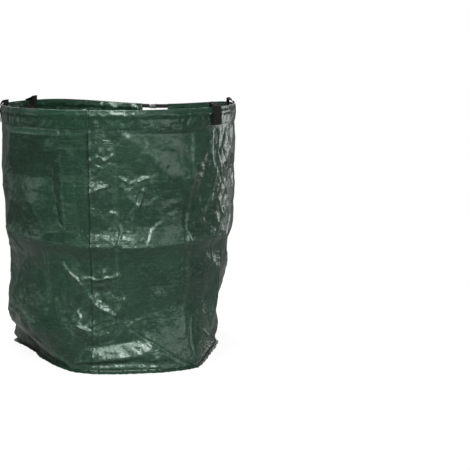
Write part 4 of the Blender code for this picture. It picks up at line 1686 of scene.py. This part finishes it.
class LeafBagFolds(PropertyGroup):
    seed: IntProperty(name="Seed", description="Of the chance folds", default=7)
    smoothing_turn: number("Round smoothing", "Degrees", 3.0)
    smoothing_rise: metres("Upright smoothing", "Up the wall", 0.012)
    fold_scale: number("Fold scale", "Strength of the folds seen in front", 1.0)
    crease_scale: number("Crease scale", "Strength of the sharp creases", 1.0)
    facet_size: metres("Facet size", "Of the large facets", 0.075)
    facet_height: metres("Facet height", "Of the large facets", 0.0060)
    crumple_size: metres("Crumple size", "Of the largest crumples", 0.034)
    crumple_height: metres("Crumple height", "Of the largest crumples", 0.0032)
    calm_share: number("Calm share", "Crumpling where the sheet is calm", 0.50)
    storage_height: metres("Storage folds", "Height of the packet's folds", 0.0022)
    hem_fade: metres("Hem fade", "Length over which folds end below the hem", 0.020)
    foot_fade: metres("Foot fade", "Length over which folds weaken above the base", 0.016)
    gather_height: metres("Gathers", "Height of the puckers at the seams", 0.00035)
    gather_length: metres("Gather length", "Length of the puckers", 0.014)
    edge_curl: metres("Edge curl", "Lift of the panels' free edges", 0.0030)
    edge_curl_reach: metres("Curl reach", "Width of the lifted edge", 0.006)
    # Painted shadow along the lapped seams.
    seam_shadow: number("Seam shadow", "Darkness along the lapped seams", 0.9)
    flange_ripple: metres("Flange ripple", "Waves of the base's edge", 0.0012)
    hem_pucker: metres("Hem pucker", "At the hem's stitches", 0.00060)
    hem_crumple: metres("Hem crumples", "Height of the hem's crumples", 0.0018)
    hem_slack: metres("Hem slack", "Of the hem's layers", 0.0012)


class LeafBagLook(PropertyGroup):
    green: paint("Green", "Of the sheet", (0.0105, 0.0350, 0.0200))
    dark_green: paint("Dark green", "Of the sheet's darker parts", (0.0057, 0.0205, 0.0115))
    pale_green: paint("Pale green", "Of the sheet's streaks", (0.0175, 0.054, 0.032))
    worn_green: paint("Worn green", "Of its worn ridges", (0.110, 0.190, 0.140))
    tape_width: metres("Tape width", "Of the woven tapes", 0.0022)
    weave_depth: metres("Weave depth", "Height of the tapes", 0.00002)
    facet_lean: number("Facet lean", "How far the small facets lean", 0.65)
    crinkle_depth: metres("Crinkle depth", "Of the fine creases", 0.00030)
    roughness: number("Roughness", "Of the sheet", 0.30)
    shine: number("Shine", "Of the sheet under its film", 0.50)
    sheen_tint: paint("Sheen", "Tint of the sheet's shine", (0.80, 1.0, 0.87))
    coat: number("Film", "Share of clear film", 0.14)
    coat_roughness: number("Film roughness", "Of the clear film", 0.16)
    webbing: paint("Webbing", "Its ribs", (0.0060, 0.0057, 0.0050))
    # Painted shade between the webbing's ribs.
    webbing_groove_shade: paint("Dark webbing", "Between its ribs", (0.003, 0.0028, 0.0025))
    dusty_webbing: paint("Dusty webbing", "Its fuzz", (0.012, 0.0115, 0.010))
    rib_width: metres("Rib width", "Of the webbing", 0.0020)
    pick_length: metres("Pick length", "Of the webbing", 0.0014)
    hoop: paint("Hoop", "Its colour", (0.022, 0.024, 0.024))
    hoop_rubbed: paint("Rubbed hoop", "Its rub marks", (0.120, 0.125, 0.120))
    steel: paint("Steel", "Of the clip", (0.60, 0.61, 0.61))
    steel_dull: paint("Dull steel", "Stains of the clip", (0.30, 0.30, 0.29))
    thread: paint("Thread", "Of the sheet's seams", (0.035, 0.085, 0.055))
    black_thread: paint("Black thread", "Of the handles", (0.022, 0.021, 0.020))


class LeafBagSewing(PropertyGroup):
    pitch: metres("Pitch", "From stitch to stitch", 0.0042)
    length: metres("Length", "Of a stitch", 0.0034)
    thread: metres("Thread", "Its thickness", 0.0007)


class LeafBagStage(PropertyGroup):
    key_power: watts("Key", "Power of the key softbox", 72.0)
    side_power: watts("Side", "Power of the side softbox", 12.0)
    back_power: watts("Back", "Power of the back softbox", 0.8)
    overhead_power: watts("Overhead", "Power of the wide softbox", 100.0)
    front_power: watts("Front", "Power of the wide softbox in front", 12.5)
    right_power: watts("Right", "Power of the wide softbox at the right", 20.0)
    left_power: watts("Left", "Power of the wide softbox at the left", 5.5)
    rear_power: watts("Rear", "Power of the wide softbox behind the bag", 70.0)
    mirrored_share: number("Mirrored share", "Of the floor, that shows in mirrored light", 0.10)
    backdrop_share: number("Mirrored backdrop", "Times what is mirrored of the floor", 1.2)
    room_light: number("Room", "Light from all round", 0.08)
    floor_radius: metres("Floor radius", "Of the round floor", 1.3)
    floor_shade: number("Floor", "How pale the floor is", 0.26)
    floor_lift: number("Floor lift", "Whiteness that the camera adds to the floor", 0.76)
    white: number("White", "Brightness of the lifted floor", 1.22)
    # Inside the fade start the floor is drawn darker, a painted shadow round the bag.
    floor_fade_start: metres("Fade start", "Where the floor starts to fade to the backdrop", 0.33)
    floor_fade_end: metres("Fade end", "Where the floor is as white as the backdrop", 0.43)


class LeafBagSettings(PropertyGroup):
    view: PointerProperty(type=LeafBagView)
    folds: PointerProperty(type=LeafBagFolds)
    look: PointerProperty(type=LeafBagLook)
    sewing: PointerProperty(type=LeafBagSewing)
    stage: PointerProperty(type=LeafBagStage)


class LEAFBAG_PT_panel(Panel):
    """Buttons for each piece of the leaf bag"""

    bl_label = "Leaf bag"
    bl_idname = "LEAFBAG_PT_panel"
    bl_space_type = "VIEW_3D"
    bl_region_type = "UI"
    bl_category = "Leaf bag"

    def draw(self, context):
        for operator in OPERATORS:
            self.layout.operator(operator.bl_idname)
        for group in LeafBagSettings.__annotations__:
            box = self.layout.box()
            values = getattr(context.scene.leaf_bag, group)
            for name in values.__annotations__:
                box.prop(values, name)


OPERATORS = (
    LEAFBAG_OT_base, LEAFBAG_OT_walls, LEAFBAG_OT_hoop, LEAFBAG_OT_hem, LEAFBAG_OT_handles,
    LEAFBAG_OT_threads, LEAFBAG_OT_stage,
)
GROUPS = (LeafBagView, LeafBagFolds, LeafBagLook, LeafBagSewing, LeafBagStage, LeafBagSettings)
CLASSES = GROUPS + OPERATORS + (LEAFBAG_PT_panel,)


def register():
    for made in CLASSES:
        bpy.utils.register_class(made)
    bpy.types.Scene.leaf_bag = PointerProperty(type=LeafBagSettings)


def unregister():
    del bpy.types.Scene.leaf_bag
    for made in reversed(CLASSES):
        bpy.utils.unregister_class(made)


def main():
    register()
    bpy.ops.leafbag.base()
    bpy.ops.leafbag.walls()
    bpy.ops.leafbag.hoop()
    bpy.ops.leafbag.hem()
    bpy.ops.leafbag.handles()
    bpy.ops.leafbag.threads()
    bpy.ops.leafbag.stage()


if __name__ == "__main__":
    main()
